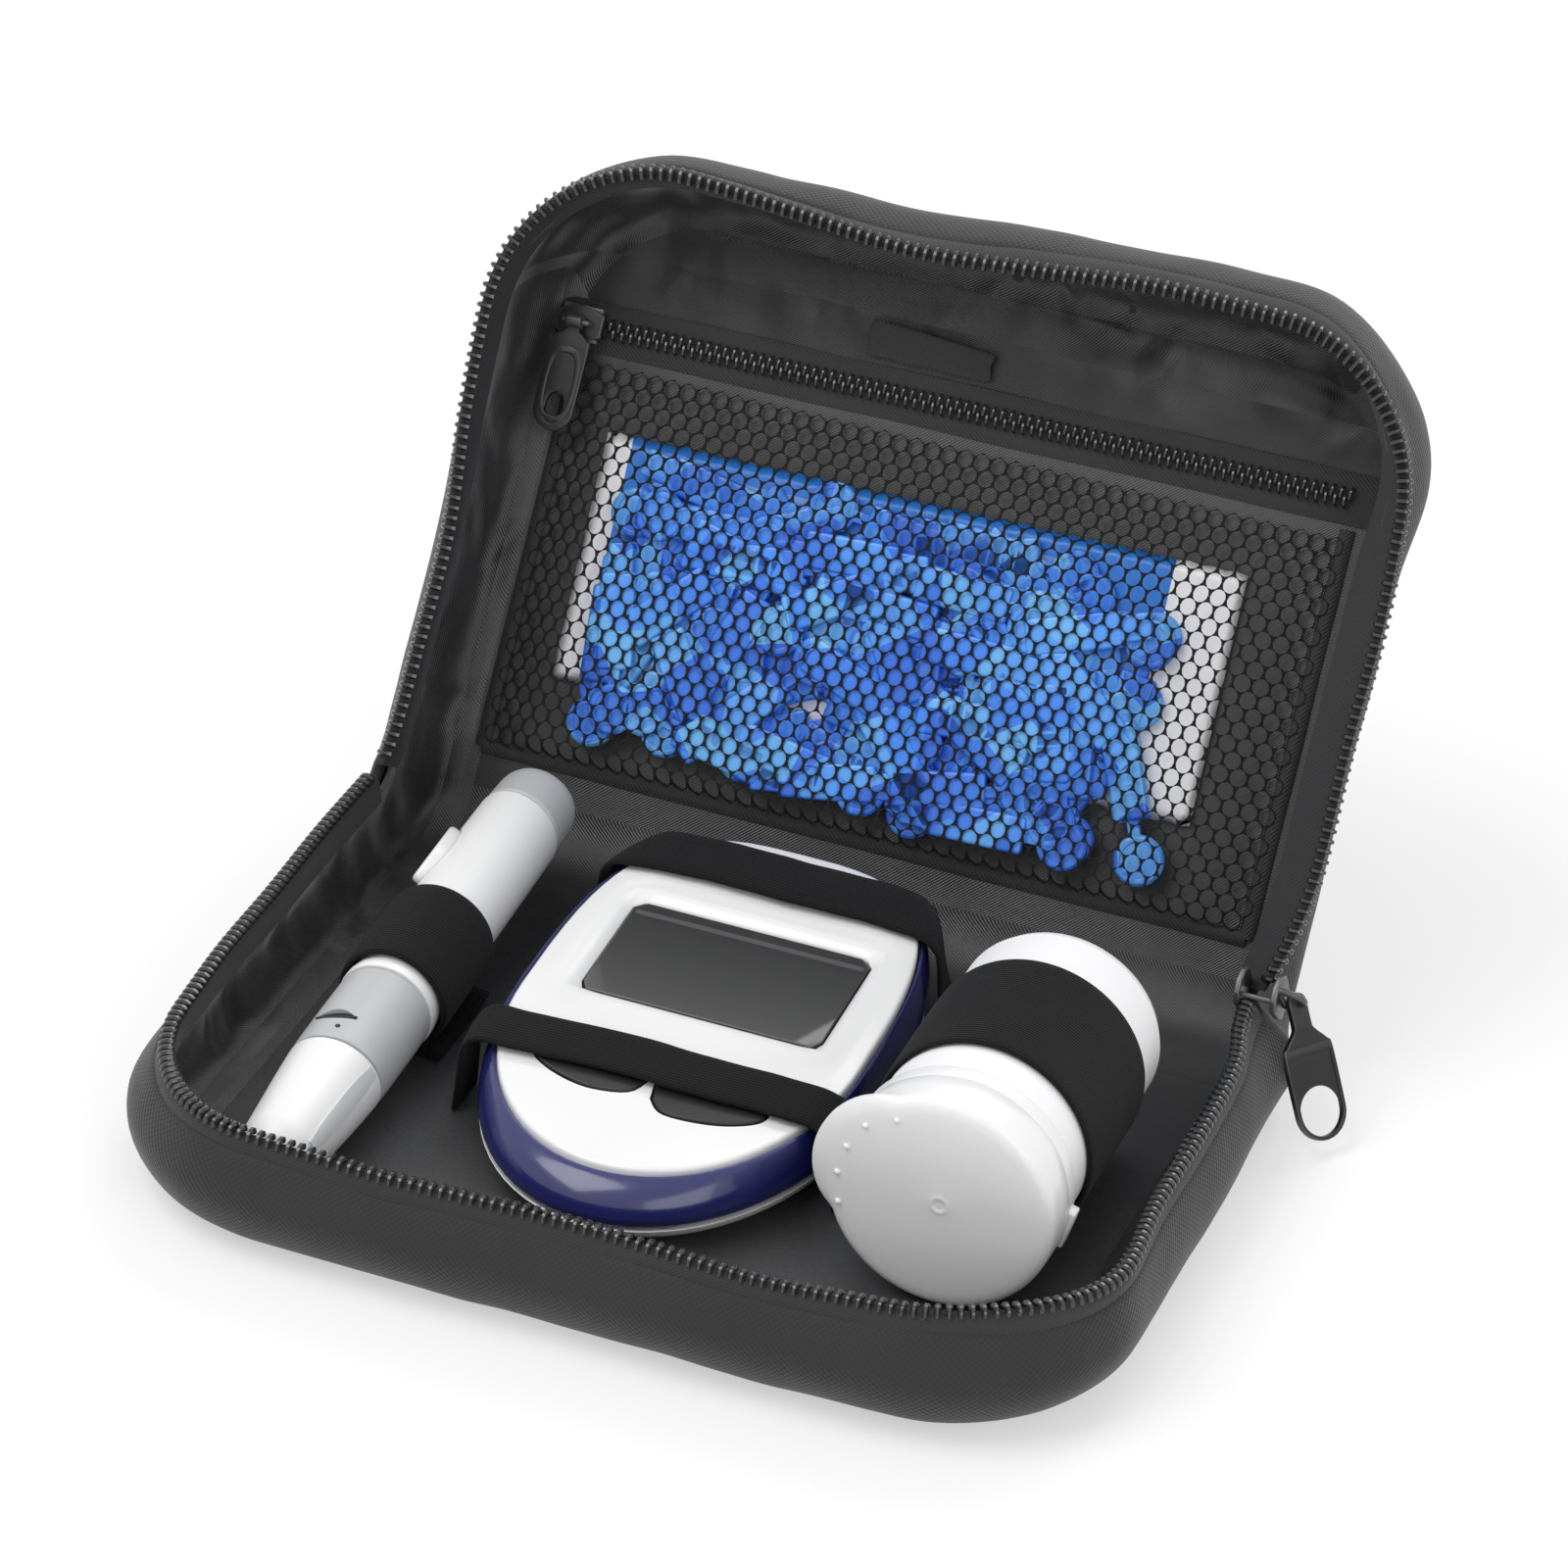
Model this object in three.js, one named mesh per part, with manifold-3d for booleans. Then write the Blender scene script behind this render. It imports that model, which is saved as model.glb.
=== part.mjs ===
// Soft zip case for a blood glucose kit, lying open: base, raised lid, meter, lancing pen and strip vial.
// Millimetres. X runs along the hinge, -Y is the front, +Z is up, origin under the middle of the base.
import * as THREE from 'three';
import { mergeVertices } from 'three/addons/utils/BufferGeometryUtils.js';
import Module from 'manifold-3d';

const wasm = await Module();
wasm.setup();

// Sizes of the case
const gap = 0.3;
const overrun = 2;
const shell = {
  width: 155, depth: 104.5, baseHeight: 22, lidHeight: 27, corner: 27.8, bulge: 3.8, wall: 2.8,
  openAngle: 121.4,
};
const rim = {
  drop: 3.6, tapeHeight: 1.1, tapeWidth: 1.0, coilHeight: 1.2, coilWidth: 2.0, coilShift: 0.2, start: 1.2,
};
const lining = { thickness: 0.5 };
const board = { thickness: 0.5, inset: 9.5, rearMargin: 3 };

// Share of the bulge outward and share of the rim height, from the floor's edge up to the rim
const wallShares = [
  [-1.84, 0], [-0.68, 0.04], [0.21, 0.163], [0.84, 0.38], [1, 0.6], [0.68, 0.826], [0.24, 1],
];
// Share of the wall thickness at each of those points
const wallThicknessShares = [0.5, 0.62, 0.85, 1, 1, 0.9, 0.64];

// Main zip slider, at the right end of the hinge line
const slider = {
  long: 8.4, width: 6.4, plate: 1.0, outerFace: 2.1, innerFace: 2.9, post: 0.8, postReach: 1.6,
  noseTilt: 131.4, wire: 1.1, archRise: 4.0, archTail: 3.4, archPeak: 1.3, archNose: 3.6, ringShare: 0.6,
};
const pull = { long: 22, width: 11.6, thickness: 1.2, neck: 3.2, neckReach: 5.5, eye: 0.9, hole: 4.5 };

// Net pocket in the lid: how far its edges stay from the case's sides, from the hinge line and from the zip
const pocketRoom = { left: 9.5, right: 13.5, bottom: 7, zipToFront: 25.5, zipToNet: 5 };
const pocket = {
  left: shell.width / 2 - pocketRoom.left,
  right: shell.width / 2 - pocketRoom.right,
  bottom: pocketRoom.bottom,
  zipLine: shell.depth - pocketRoom.zipToFront,
  top: shell.depth - pocketRoom.zipToFront - pocketRoom.zipToNet,
};
const pocketWidth = pocket.left + pocket.right;
const pocketHeight = pocket.top - pocket.bottom;
const pocketMiddle = (pocket.right - pocket.left) / 2;
// The net stands up from the lid's lining by its bow; the share of the pocket's height up to which it is flat
const netForm = {
  bow: 4.6, thickness: 0.6, leftRamp: 11, rightRamp: 16, bottomRamp: 3, flatShare: 0.672,
};
// Its cells, the strands between them, and the shares of a row that a cell's point and side take
const netCell = { strand: 1.1, columns: 16, rows: 9, border: 1.6, pointShare: 2 / 3, sideShare: 1 / 3 };
const pocketZip = {
  tapeWidth: 8.4, tapeThickness: 0.3, tapeRise: 0.4, coilWidth: 3.6, coilHeight: 1.0, end: 3,
};
const pocketSlider = {
  long: 8, width: 6, plate: 0.9, lip: 0.8, lipDepth: 1.2, pastNet: 0.5, leg: 1.0, legRise: 2.2, bar: 1.0,
  span: 5.2,
};
const pocketPull = {
  long: 18.5, width: 7, thickness: 1.0, eye: 0.8, knuckle: 1.3, knuckleWidth: 2.6, neck: 1.4, shoulder: 3.2,
  hole: 2,
};
const tab = { width: 21.4, height: 8, thickness: 0.8, left: 19.3, gapToZip: 0.4 };
// The card's room inside the pocket on each side
const card = { left: 8.5, right: 13.5, bottom: 14.5, top: 11.5, thickness: 0.5, turn: 0.8, rise: 0.4 };
const lancet = { disc: 4.2, neck: 1.1, body: 3.1, tail: 2.3, thickness: 3.2, rise: 1.2 };
// Shares of the pocket's height that a lancet's neck, body and tail are long
const lancetLengthShares = { neck: 0.0955, body: 0.2388, tail: 0.0746 };
// Each lancet's disc: share of the pocket's width from its middle, of its height from its bottom; its turn
const lancetShares = [
  [-0.363, 0.122, 95], [-0.266, 0.14, 88], [-0.163, 0.128, 84], [-0.055, 0.159, 89], [0.053, 0.134, 92],
  [0.16, 0.14, 89], [0.262, 0.127, 90], [0.358, 0.12, 92], [-0.372, 0.642, 2], [0.32, 0.642, 178],
];

// Meter
const meter = {
  middle: 10, front: -33, rear: 62, rearPower: 3.2, floor: 3.3, screenY: 25.5, screenTop: 19.1,
  slope: 4.9, seamShare: 0.32, segments: 28, wall: 1.6, sideInset: 1.6, frontInset: 5.6, rearInset: 3,
  plate: 1.8, chamfer: 0.7, soleInset: 8, soleRise: 1.5, beltShare: 0.55, penSide: 6, vialSide: 4,
};
// Widths inside the meter, as shares of half its width
const meterShares = {
  screen: 1.3433, module: 1.4, post: 0.5667, cell: 0.3333, door: 0.78, port: 0.3, slot: 0.2333, key: 0.6,
};
const screen = { height: 24.8, recess: 0.5, glass: 1.0, moduleHeight: 27 };
const circuit = { inset: 5, thickness: 1.2, rise: 1.1, postRadius: 2, postFront: 22, postRear: 20 };
const cell = { thickness: 3.0, y: 24 };
const door = { long: 24, thickness: 1.1, y: 24, travel: 5 };
const port = { long: 10, height: 3, slotHeight: 1.3, inset: 4.5 };
const button = { proud: 0.5, depth: 2.6, y: -12.5, height: 8.6, clearance: 0.48 };
// Outlines of the two keys, as shares of their width and height, from the middle of the pair
const leftKeyShares = [
  [-1.12, 0.95], [-1.0, 0.6], [-0.75, 0.33], [-0.42, 0.2], [-0.1, 0.42], [-0.1, 1.2], [-0.8, 1.2],
];
const rightKeyShares = [
  [0.1, 0.32], [0.28, 0], [0.72, 0.1], [1.02, 0.42], [1.05, 0.8], [0.8, 1.2], [0.1, 1.2],
];

// Elastic bands sewn to the base
const strap = {
  thickness: 1.0, sideGap: 0.6, slack: 1.2, corner: 3.2, frontY: -7, frontWidth: 9.6, rearY: 43,
  rearWidth: 11,
};
const penLoop = { thickness: 1.0, start: 2.4, width: 20, foot: 7 };
const vialLoop = { thickness: 0.9, front: -6.5, width: 26 };

// Lancing pen, measured along its own axis from the front of its release band
const pen = {
  fromSide: 25.6, y: 0.3, z: 12.5, slope: 4.3, radius: 7.8, wall: 1.7, barrelEnd: 53.4, lip: 1.8,
  lipRise: 0.2, rearRadius: 7.3, ring: 17.6, cap: 24.4, capTip: 5.2, tipRound: 2.2, needleHole: 1.2,
  sleeve: 8.6, sleeveRadius: 6.9, stop: 5, stopDepth: 2, segments: 20,
};
const plunger = { radius: 2.2, front: -22, holder: 3.6, holderDepth: 9 };
const spring = { radius: 3.7, wire: 0.9, start: -12.25, long: 16.5, curls: 6, steps: 8, sides: 5 };
const needle = { radius: 2.3, long: 8, tip: 0.4, tipReach: 3.2 };
const release = { start: 28.4, long: 15, width: 6, proud: 1.3, stem: 6.0, turn: 151, travel: 1.2 };

// Strip vial
const vial = {
  fromSide: 29.2, z: 21.7, face: -25, long: 56, radius: 16, wall: 1.5, segments: 24, capRadius: 17.9,
  capHeight: 8, capTop: 2.2, neck: 15.2, neckHeight: 4, capBore: 15.65, collar: 17.5, collarHeight: 3.4,
  labelInset: 2, label: 0.2, liner: 0.8, linerReach: 40, tabReach: 3.2, tabTurn: 165, tabSpan: 26,
  sprue: 1.2, sprueRise: 0.4, hingeWidth: 7, hingeReach: 0.6,
};
const strip = { width: 5.4, long: 33, thickness: 0.5, count: 2, pitch: 0.9 };

// Numbers of flat faces that round forms are built from
const facets = {
  corner: 7, spine: 5, wire: 8, wireRings: 6, eye: 8, knuckle: 12, bigHole: 16, smallHole: 10, pullEye: 6,
  pullEnd: 10, disc: 8, post: 8, cell: 20, release: 16, loop: 14, loopBore: 18, pin: 12, thumb: 8,
};
// Where the pen's loop leaves its round: its first angle and its whole turn, in degrees
const loopTurn = { start: -50, whole: 280 };

const degrees = Math.PI / 180;
const half = 0.5;

// The pen and the vial keep their distance from the case's sides; the meter takes the room between them
const penX = pen.fromSide - shell.width * half;
const vialX = shell.width * half - vial.fromSide;
const penLoopInner = pen.radius + pen.lipRise + gap;
const labelInner = vial.radius + gap;
const vialLoopInner = labelInner + vial.label + gap;
const meterLeft = penX + penLoopInner + penLoop.thickness + meter.penSide;
const meterRight = vialX - vialLoopInner - vialLoop.thickness - meter.vialSide;
const meterX = (meterLeft + meterRight) * half;
const meterHalf = (meterRight - meterLeft) * half - strap.sideGap - strap.thickness;
const keySize = { width: meterShares.key * meterHalf, height: button.height };
const hinge = new THREE.Vector3(0, shell.depth * half, shell.baseHeight);
const restTurn = (180 - shell.openAngle) * degrees;

// Colours and finishes
const finishes = {
  nylon: { color: 0x2b2b2d, roughness: 0.85, metalness: 0 },
  twill: { color: 0x222224, roughness: 0.6, metalness: 0 },
  elastic: { color: 0x1c1c1e, roughness: 0.9, metalness: 0 },
  coil: { color: 0x202022, roughness: 0.45, metalness: 0 },
  enamel: { color: 0x2a2a2c, roughness: 0.4, metalness: 0.6 },
  net: { color: 0x111113, roughness: 0.8, metalness: 0 },
  white: { color: 0xf0f0ee, roughness: 0.35, metalness: 0 },
  navy: { color: 0x1d2657, roughness: 0.2, metalness: 0 },
  grey: { color: 0xb9babc, roughness: 0.4, metalness: 0 },
  black: { color: 0x18181a, roughness: 0.5, metalness: 0 },
  glass: { color: 0x34363a, roughness: 0.1, metalness: 0 },
  circuit: { color: 0x1f5c3a, roughness: 0.5, metalness: 0 },
  steel: { color: 0xb8bcc0, roughness: 0.3, metalness: 1 },
  paper: { color: 0xe8e4ea, roughness: 0.6, metalness: 0 },
  blue: { color: 0x2f74d8, roughness: 0.35, metalness: 0 },
};

// Solids

// A closed solid through rings of equally many points; it is capped at both ends, or closes on itself.
function loft(rings, closed = false) {
  const count = rings[0].length;
  const points = rings.flat();
  const index = [];
  const bands = closed ? rings.length : rings.length - 1;
  for (let r = 0; r < bands; r++) {
    const next = ((r + 1) % rings.length) * count;
    for (let i = 0; i < count; i++) {
      const j = (i + 1) % count;
      const a = r * count + i;
      const b = r * count + j;
      index.push(a, b, next + j, a, next + j, next + i);
    }
  }
  if (!closed) {
    index.push(...capFaces(rings[0], 0, true));
    index.push(...capFaces(rings.at(-1), (rings.length - 1) * count, false));
  }
  const geometry = new THREE.BufferGeometry();
  const places = points.flatMap((p) => [p.x, p.y, p.z]);
  geometry.setAttribute('position', new THREE.Float32BufferAttribute(places, 3));
  geometry.setIndex(index);
  return outward(geometry);
}

// Triangles over one flat ring, wound with the ring or against it.
function capFaces(ring, first, reversed) {
  const normal = new THREE.Vector3();
  ring.forEach((p, i) => {
    const q = ring[(i + 1) % ring.length];
    normal.x += (p.y - q.y) * (p.z + q.z);
    normal.y += (p.z - q.z) * (p.x + q.x);
    normal.z += (p.x - q.x) * (p.y + q.y);
  });
  const turn = new THREE.Quaternion().setFromUnitVectors(normal.normalize(), new THREE.Vector3(0, 0, 1));
  const flat = ring.map((p) => p.clone().applyQuaternion(turn)).map((p) => new THREE.Vector2(p.x, p.y));
  const faces = THREE.ShapeUtils.triangulateShape(flat, []);
  const turned = reversed ? faces.map((corners) => corners.toReversed()) : faces;
  return turned.flat().map((corner) => first + corner);
}

// The same geometry with its faces turned out, judged by its signed volume.
function outward(geometry) {
  const p = geometry.getAttribute('position');
  const index = geometry.getIndex().array;
  const [a, b, c] = [new THREE.Vector3(), new THREE.Vector3(), new THREE.Vector3()];
  let volume = 0;
  for (let i = 0; i < index.length; i += 3) {
    a.fromBufferAttribute(p, index[i]);
    b.fromBufferAttribute(p, index[i + 1]);
    c.fromBufferAttribute(p, index[i + 2]);
    volume += a.dot(b.cross(c));
  }
  if (volume < 0) {
    for (let i = 0; i < index.length; i += 3) [index[i], index[i + 2]] = [index[i + 2], index[i]];
  }
  return geometry;
}

function toSolid(geometry) {
  const bare = geometry.clone();
  bare.deleteAttribute('normal');
  bare.deleteAttribute('uv');
  const merged = mergeVertices(bare);
  const vertProperties = new Float32Array(merged.getAttribute('position').array);
  const triVerts = new Uint32Array(merged.getIndex().array);
  return new wasm.Manifold(new wasm.Mesh({ numProp: 3, vertProperties, triVerts }));
}

function fromSolid(solid) {
  const mesh = solid.getMesh();
  const geometry = new THREE.BufferGeometry();
  geometry.setAttribute('position', new THREE.BufferAttribute(new Float32Array(mesh.vertProperties), 3));
  geometry.setIndex(Array.from(mesh.triVerts));
  return geometry;
}

function join(first, ...others) {
  return fromSolid(others.reduce((sum, next) => sum.add(toSolid(next)), toSolid(first)));
}

function cut(first, ...others) {
  return fromSolid(others.reduce((rest, next) => rest.subtract(toSolid(next)), toSolid(first)));
}

function box(width, length, height, x = 0, y = 0, z = 0) {
  return new THREE.BoxGeometry(width, length, height).translate(x, y, z);
}

// A rod between two points.
function rod(from, to, radius, sides = 10) {
  const along = to.clone().sub(from);
  const geometry = new THREE.CylinderGeometry(radius, radius, along.length(), sides);
  const upright = new THREE.Vector3(0, 1, 0);
  geometry.applyQuaternion(new THREE.Quaternion().setFromUnitVectors(upright, along.normalize()));
  return geometry.translate(...from.clone().add(to).multiplyScalar(half).toArray());
}

// A prism: an outline in X and Y, raised along Z from a base height.
function prism(points, height, base = 0, holes = []) {
  const shape = new THREE.Shape(points);
  shape.holes = holes.map((hole) => new THREE.Path(hole));
  return new THREE.ExtrudeGeometry(shape, { depth: height, bevelEnabled: false }).translate(0, 0, base);
}

function circlePoints(radius, count, x = 0, y = 0) {
  return Array.from({ length: count }, (_, i) => {
    const turn = (i / count) * 2 * Math.PI;
    return new THREE.Vector2(x + radius * Math.cos(turn), y + radius * Math.sin(turn));
  });
}

// A turned piece about Y from [radius, place] pairs; a profile off the axis is closed into a sleeve.
function turned(pairs, segments) {
  const profile = pairs.map(([r, y]) => new THREE.Vector2(r, y));
  if (pairs[0][0] > 0) profile.push(profile[0].clone());
  const lathe = new THREE.LatheGeometry(profile, segments);
  lathe.deleteAttribute('normal');
  lathe.deleteAttribute('uv');
  const merged = mergeVertices(lathe);
  const index = merged.getIndex().array;
  const kept = [];
  for (let i = 0; i < index.length; i += 3) {
    const [a, b, c] = [index[i], index[i + 1], index[i + 2]];
    if (a !== b && b !== c && a !== c) kept.push(a, b, c);
  }
  merged.setIndex(kept);
  return outward(merged);
}

const root = new THREE.Group();

function piece(parent, name, geometry, finish) {
  const mesh = new THREE.Mesh(geometry, new THREE.MeshStandardMaterial(finishes[finish]));
  mesh.name = name;
  parent.add(mesh);
  return mesh;
}

// Half of the case: the frame of a half has X along the hinge, Y from the hinge to the front edge and Z up

// The rim's line moved outward by an offset, from one end of the hinge round the front to the other.
function rimLine(offset, start = 0) {
  const x = shell.width * half;
  const points = [new THREE.Vector2(x + offset, start)];
  for (const side of [1, -1]) {
    const centre = new THREE.Vector2(side * (x - shell.corner), shell.depth - shell.corner);
    for (let i = 0; i <= facets.corner; i++) {
      const turn = (i / facets.corner) * Math.PI * half;
      const angle = side > 0 ? turn : Math.PI * half + turn;
      const r = shell.corner + offset;
      points.push(new THREE.Vector2(centre.x + r * Math.cos(angle), centre.y + r * Math.sin(angle)));
    }
  }
  points.push(new THREE.Vector2(-x - offset, start));
  return points;
}

// A profile moved inward by a distance at each point; the floor end moves up and the rim end moves in.
function inset(profile, distances) {
  return profile.map(([o, z], i) => {
    const before = profile[Math.max(i - 1, 0)];
    const after = profile[Math.min(i + 1, profile.length - 1)];
    const length = Math.hypot(after[0] - before[0], after[1] - before[1]);
    let normal = [-(after[1] - before[1]) / length, (after[0] - before[0]) / length];
    if (i === 0) normal = [0, 1];
    if (i === profile.length - 1) normal = [-1, 0];
    return [o + normal[0] * distances[i], z + normal[1] * distances[i]];
  });
}

// The four profiles of one half's wall, for its height.
function wallProfiles(height) {
  const top = height - rim.drop;
  const outer = wallShares.map(([o, z]) => [o * shell.bulge, z * top]);
  const inner = inset(outer, wallThicknessShares.map((share) => share * shell.wall));
  const boardSpace = board.thickness + 2 * gap;
  const liningOuter = inset(inner, inner.map((_, i) => (i < 1 ? boardSpace : gap)));
  const liningInner = inset(liningOuter, liningOuter.map(() => lining.thickness));
  return { outer, inner, liningOuter, liningInner };
}
const baseWall = wallProfiles(shell.baseHeight);
const lidWall = wallProfiles(shell.lidHeight);
const floorTop = baseWall.liningInner[0][1];
const lidFace = lidWall.liningInner[0][1] - shell.lidHeight;

// A tray from an outer and an inner profile, open at the hinge.
function tray(outer, inner) {
  const path = [...outer, ...inner.toReversed()];
  const rings = path.map(([o, z]) => rimLine(o, -overrun).map((p) => new THREE.Vector3(p.x, p.y, z)));
  const width = shell.width + 4 * shell.bulge;
  return cut(loft(rings), box(width, 2 * overrun, 2 * shell.lidHeight, 0, gap - overrun, 0));
}

// A band with a square section along the rim, from offsets and heights.
function rimBand(inner, outer, low, high) {
  const corners = [[inner, low], [outer, low], [outer, high], [inner, high]];
  const lines = corners.map(([o]) => rimLine(o, rim.start));
  const at = (i) => corners.map(([, z], k) => new THREE.Vector3(lines[k][i].x, lines[k][i].y, z));
  const rings = lines[0].map((_, i) => at(i));
  return loft(rings);
}

function caseHalf(group, prefix, wall, height) {
  piece(group, `${prefix}_shell`, tray(wall.outer, wall.inner).translate(0, 0, -height), 'nylon');
  const cover = tray(wall.liningOuter, wall.liningInner).translate(0, 0, -height);
  piece(group, `${prefix}_lining`, cover, 'twill');
  const plate = prism(rimLine(-board.inset, board.rearMargin), board.thickness, wall.inner[0][1] + gap);
  piece(group, `${prefix}_board`, plate.translate(0, 0, -height), 'grey');
  const tapeOut = rim.coilShift;
  const tapeLow = gap - rim.drop;
  const tapeHigh = tapeLow + rim.tapeHeight;
  piece(group, `${prefix}_zip_tape`, rimBand(tapeOut - rim.tapeWidth, tapeOut, tapeLow, tapeHigh), 'nylon');
  const coilMiddle = -rim.coilShift;
  const coilLow = tapeHigh + gap;
  const coil = rimBand(
    coilMiddle - rim.coilWidth * half, coilMiddle + rim.coilWidth * half, coilLow, coilLow + rim.coilHeight);
  piece(group, `${prefix}_zip_coil`, coil, 'coil');
}

const base = new THREE.Group();
base.position.copy(hinge);
base.rotation.z = Math.PI;
root.add(base);
caseHalf(base, 'base', baseWall, shell.baseHeight);

const lid = new THREE.Group();
lid.position.copy(hinge);
lid.rotation.x = restTurn;
root.add(lid);
caseHalf(lid, 'lid', lidWall, shell.lidHeight);

// Spine: the base's section turned about the hinge line while it grows into the lid's section.
function spine(outerName, innerName, steps) {
  const x = shell.width * half;
  const section = (wall) => {
    const right = (profile) => profile.map(([o, z]) => [x + o, z]);
    const left = (profile) => profile.map(([o, z]) => [-x - o, z]);
    const [outer, inner] = [wall[outerName], wall[innerName]];
    return [...right(outer).toReversed(), ...left(outer), ...left(inner).toReversed(), ...right(inner)];
  };
  const start = section(baseWall);
  const end = section(lidWall);
  const rings = [];
  for (let i = 0; i <= steps; i++) {
    const turn = (i / steps) * restTurn;
    const share = THREE.MathUtils.smootherstep(i / steps, 0, 1);
    rings.push(start.map(([sx, sz], k) => {
      const [ex, ez] = end[k];
      const radius = THREE.MathUtils.lerp(shell.baseHeight - sz, shell.lidHeight - ez, share);
      const px = THREE.MathUtils.lerp(sx, ex, share);
      return new THREE.Vector3(px, hinge.y + radius * Math.sin(turn), hinge.z - radius * Math.cos(turn));
    }));
  }
  return loft(rings);
}
piece(root, 'spine_shell', spine('outer', 'inner', facets.spine), 'nylon');
piece(root, 'spine_lining', spine('liningOuter', 'liningInner', facets.spine), 'twill');

// Main slider and its pull

const sliderGroup = new THREE.Group();
sliderGroup.position.set(shell.width * half, hinge.y, hinge.z);
sliderGroup.rotation.x = slider.noseTilt * degrees;
root.add(sliderGroup);

const plateOuter = slider.outerFace + slider.plate;
const archFoot = new THREE.Vector3(plateOuter - slider.plate * half, -slider.archTail, 0);
const archPeak = new THREE.Vector3(plateOuter + slider.archRise, slider.archPeak, 0);
const archNose = new THREE.Vector3(plateOuter - slider.plate * half, slider.archNose, 0);

function mainSlider() {
  const outer = box(slider.plate, slider.long, slider.width, slider.outerFace + slider.plate * half);
  const inner = box(slider.plate, slider.long, slider.width, -slider.innerFace - slider.plate * half);
  const tilt = slider.noseTilt * degrees;
  const postY = -slider.postReach * Math.cos(tilt);
  const postZ = slider.postReach * Math.sin(tilt);
  const sink = slider.plate * half;
  const post = rod(
    new THREE.Vector3(-slider.innerFace - sink, postY, postZ),
    new THREE.Vector3(slider.outerFace + sink, postY, postZ),
    slider.post * half, facets.wire,
  );
  const wire = slider.wire * half;
  const knee = new THREE.SphereGeometry(wire, facets.wire, facets.wireRings).translate(...archPeak.toArray());
  const limbs = [rod(archFoot, archPeak, wire, facets.wire), rod(archPeak, archNose, wire, facets.wire)];
  return join(outer, inner, post, ...limbs, knee);
}
piece(sliderGroup, 'main_slider', mainSlider(), 'enamel');

// The pull turns about the arch's rising limb and hangs below it.
sliderGroup.updateMatrixWorld(true);
const ringPoint = archFoot.clone().lerp(archPeak, slider.ringShare).applyMatrix4(sliderGroup.matrixWorld);
const limb = archPeak.clone().sub(archFoot).transformDirection(sliderGroup.matrixWorld).normalize();
const hang = new THREE.Vector3(0, 0, -1).addScaledVector(limb, limb.z).normalize();
const across = new THREE.Vector3().crossVectors(limb, hang);

// Outline of a pull: a round eye, a neck and a broad plate with a round end. Y runs down from the eye.
function pullOutline(size) {
  const points = [];
  const eyeRound = size.neck * half;
  for (let i = 0; i <= facets.pullEye; i++) {
    const turn = Math.PI * (1 + i / facets.pullEye);
    points.push(new THREE.Vector2(eyeRound * Math.cos(turn), eyeRound * Math.sin(turn)));
  }
  const broad = size.width * half;
  const shoulder = size.neckReach + (broad - eyeRound) * half;
  points.push(new THREE.Vector2(eyeRound, size.neckReach - eyeRound));
  points.push(new THREE.Vector2(broad - eyeRound * half, shoulder - eyeRound * half));
  points.push(new THREE.Vector2(broad, shoulder + eyeRound * half));
  const end = size.long - broad;
  for (let i = 0; i <= facets.pullEnd; i++) {
    const turn = Math.PI * (i / facets.pullEnd);
    points.push(new THREE.Vector2(broad * Math.cos(turn), end + broad * Math.sin(turn)));
  }
  points.push(new THREE.Vector2(-broad, shoulder + eyeRound * half));
  points.push(new THREE.Vector2(-broad + eyeRound * half, shoulder - eyeRound * half));
  points.push(new THREE.Vector2(-eyeRound, size.neckReach - eyeRound));
  return points;
}
const pullPlate = prism(pullOutline(pull), pull.thickness, -pull.thickness * half, [
  circlePoints(pull.eye, facets.eye),
  circlePoints(pull.hole, facets.bigHole, 0, pull.long - pull.width * half),
]);
const pullFrame = new THREE.Matrix4().makeBasis(across, hang, new THREE.Vector3().crossVectors(across, hang));
piece(root, 'main_pull', pullPlate.applyMatrix4(pullFrame.setPosition(ringPoint)), 'enamel');

// Lid pocket; heights run down from the rim plane, so the lid's lining lies at a negative one

const smooth = (t) => THREE.MathUtils.smoothstep(t, 0, 1);

// Height of the net's back: flat over what the pocket holds, and down to its seams all round.
function netHeight(x, s) {
  const sides = smooth((x + pocket.left) / netForm.leftRamp) * smooth((pocket.right - x) / netForm.rightRamp);
  const rise = smooth((s - pocket.bottom) / netForm.bottomRamp);
  const flatEnd = pocket.bottom + pocketHeight * netForm.flatShare;
  const fall = 1 - smooth((s - flatEnd) / (pocket.top - flatEnd));
  return lidFace + gap + netForm.bow * sides * rise * fall;
}

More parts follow.
